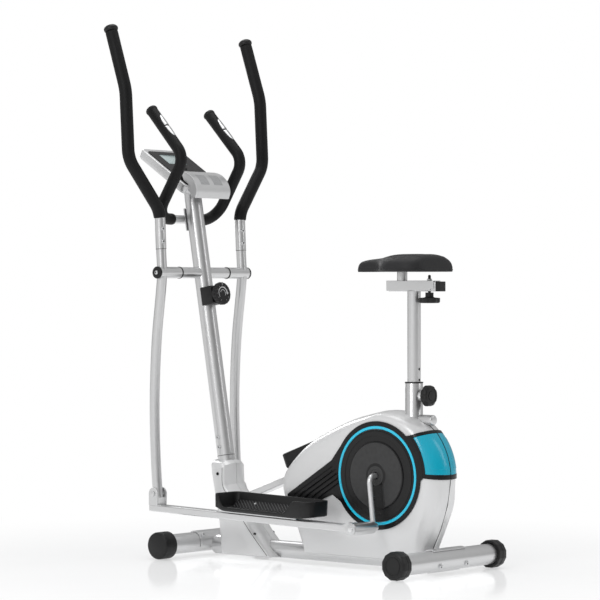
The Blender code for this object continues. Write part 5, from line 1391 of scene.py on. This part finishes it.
def build_floor():
    """A glossy pale floor that fades to plain white away from the machine."""
    floor_mat = material("studio_floor", (0.80, 0.805, 0.81), 0.09, vary=0.006, scale=3, rough_vary=0.01,
                         specular=0.50)
    tree = floor_mat.node_tree
    join = tree.links.new
    shader = tree.nodes["Principled BSDF"]
    shader.inputs["Emission Color"].default_value = (1, 1, 1, 1)
    shader.inputs["Emission Strength"].default_value = 0.42
    spot = tree.nodes.new("ShaderNodeTexCoord")
    reach = tree.nodes.new("ShaderNodeVectorMath")
    reach.operation = "LENGTH"
    join(spot.outputs["Object"], reach.inputs[0])
    fade = new_node(tree, "ShaderNodeMapRange", {"From Min": 0.60, "From Max": 1.70})
    fade.interpolation_type = "SMOOTHSTEP"
    join(reach.outputs["Value"], fade.inputs["Value"])
    bright = tree.nodes.new("ShaderNodeEmission")
    blend = tree.nodes.new("ShaderNodeMixShader")
    join(fade.outputs["Result"], blend.inputs["Fac"])
    join(shader.outputs["BSDF"], blend.inputs[1])
    join(bright.outputs["Emission"], blend.inputs[2])
    join(blend.outputs["Shader"], tree.nodes["Material Output"].inputs["Surface"])
    mesh = bpy.data.meshes.new("studio_floor")
    far, z = 14, -0.0006
    mesh.from_pydata([(-far, -far, z), (far, -far, z), (far, far, z), (-far, far, z)], [], [(0, 1, 2, 3)])
    mesh.materials.append(floor_mat)
    floor = bpy.data.objects.new("studio_floor", mesh)
    bpy.context.scene.collection.objects.link(floor)


def build_world():
    """White behind the machine, and a band of light and dark round it for reflections."""
    world = bpy.data.worlds.new("studio")
    world.use_nodes = True
    tree = world.node_tree
    join = tree.links.new
    plain = tree.nodes["Background"]
    plain.inputs["Color"].default_value = (1, 1, 1, 1)
    plain.inputs["Strength"].default_value = 1.0
    place = tree.nodes.new("ShaderNodeTexCoord")
    turn = tree.nodes.new("ShaderNodeMapping")
    turn.vector_type = "NORMAL"
    turn.inputs["Rotation"].default_value = (0, 0, -CAMERA_TURN)
    join(place.outputs["Generated"], turn.inputs["Vector"])
    split = tree.nodes.new("ShaderNodeSeparateXYZ")
    join(turn.outputs["Vector"], split.inputs["Vector"])
    around = tree.nodes.new("ShaderNodeMath")
    around.operation = "ARCTAN2"
    join(split.outputs["X"], around.inputs[0])
    join(split.outputs["Y"], around.inputs[1])
    share = new_node(tree, "ShaderNodeMapRange", {"From Min": -math.pi, "From Max": math.pi})
    join(around.outputs["Value"], share.inputs["Value"])
    ramp = tree.nodes.new("ShaderNodeValToRGB")
    ramp.color_ramp.interpolation = "B_SPLINE"
    # 0 and 1 look back past the camera, 0.25 is its left, 0.5 the backdrop and 0.75 its right
    stops = ((0.0, 0.80), (0.07, 1.15), (0.16, 1.40), (0.27, 1.20), (0.35, 0.55), (0.43, 0.15),
             (0.50, 0.55),
             (0.57, 0.30), (0.66, 0.85), (0.75, 0.60), (0.83, 0.22), (0.91, 0.22), (1.0, 0.80))
    first, last = ramp.color_ramp.elements
    for stop, (position, value) in ((first, stops[0]), (last, stops[-1])):
        stop.position = position
        stop.color = (value, value, value, 1)
    for position, value in stops[1:-1]:
        ramp.color_ramp.elements.new(position).color = (value, value, value, 1)
    join(share.outputs["Result"], ramp.inputs["Fac"])
    upward = new_node(tree, "ShaderNodeMapRange", {"From Min": 0.25, "From Max": 0.85})
    upward.interpolation_type = "SMOOTHSTEP"
    join(split.outputs["Z"], upward.inputs["Value"])
    sky = tree.nodes.new("ShaderNodeMix")
    sky.data_type = "RGBA"
    sky.inputs[7].default_value = (0.85, 0.85, 0.855, 1)
    join(upward.outputs["Result"], sky.inputs[0])
    join(ramp.outputs["Color"], sky.inputs[6])
    soft = new_node(tree, "ShaderNodeBackground", {"Strength": 0.74})
    join(sky.outputs[2], soft.inputs["Color"])
    ray = tree.nodes.new("ShaderNodeLightPath")
    pick = tree.nodes.new("ShaderNodeMixShader")
    join(ray.outputs["Is Camera Ray"], pick.inputs["Fac"])
    join(soft.outputs["Background"], pick.inputs[1])
    join(plain.outputs["Background"], pick.inputs[2])
    join(pick.outputs["Shader"], tree.nodes["World Output"].inputs["Surface"])
    bpy.context.scene.world = world
    bpy.context.scene.view_settings.view_transform = "Standard"


def build_lights():
    """Four rectangular lamps round the machine."""
    for name, spot, aim, size, power in (("key", (0.4, -3.6, 2.6), (0, 0, 0.6), (0.8, 2.4), 34),
                                         ("top", (-0.2, 0.2, 4.2), (0, 0, 0.6), (3.0, 2.0), 42),
                                         ("rim", (-3.0, 1.6, 2.2), (0, 0, 0.8), (0.8, 2.4), 24),
                                         ("back", (2.8, 1.4, 2.0), (0, 0, 0.8), (0.6, 2.2), 9)):
        data = bpy.data.lights.new(name, "AREA")
        data.shape = "RECTANGLE"
        data.size, data.size_y = size
        data.energy = power
        lamp = bpy.data.objects.new(name, data)
        lamp.location = spot
        lamp.rotation_euler = (Vector(aim) - Vector(spot)).to_track_quat("-Z", "Y").to_euler()
        bpy.context.scene.collection.objects.link(lamp)


def build_camera():
    """The camera at the picture's place."""
    data = bpy.data.cameras.new("camera")
    data.lens, data.sensor_width, data.sensor_fit = 156.21, 36.0, "HORIZONTAL"
    data.shift_x, data.shift_y = 0.0, -0.01386
    data.clip_start, data.clip_end = 0.1, 60.0
    camera = bpy.data.objects.new("camera", data)
    camera.location = (4.85727, -5.78468, 0.78269)
    camera.rotation_euler = (math.radians(90), 0, CAMERA_TURN)
    bpy.context.scene.collection.objects.link(camera)
    bpy.context.scene.camera = camera


finish_nodes()
build_base()
build_cover()
build_post()
build_console()
build_pulse()
for side_sign, side_word in SIDES.items():
    build_arm(side_sign, side_word)
    build_crank(side_sign, side_word)
    build_rail(side_sign, side_word)
    build_housing(side_sign, side_word)
build_seat()
build_floor()
build_world()
build_lights()
build_camera()
bpy.context.view_layer.update()
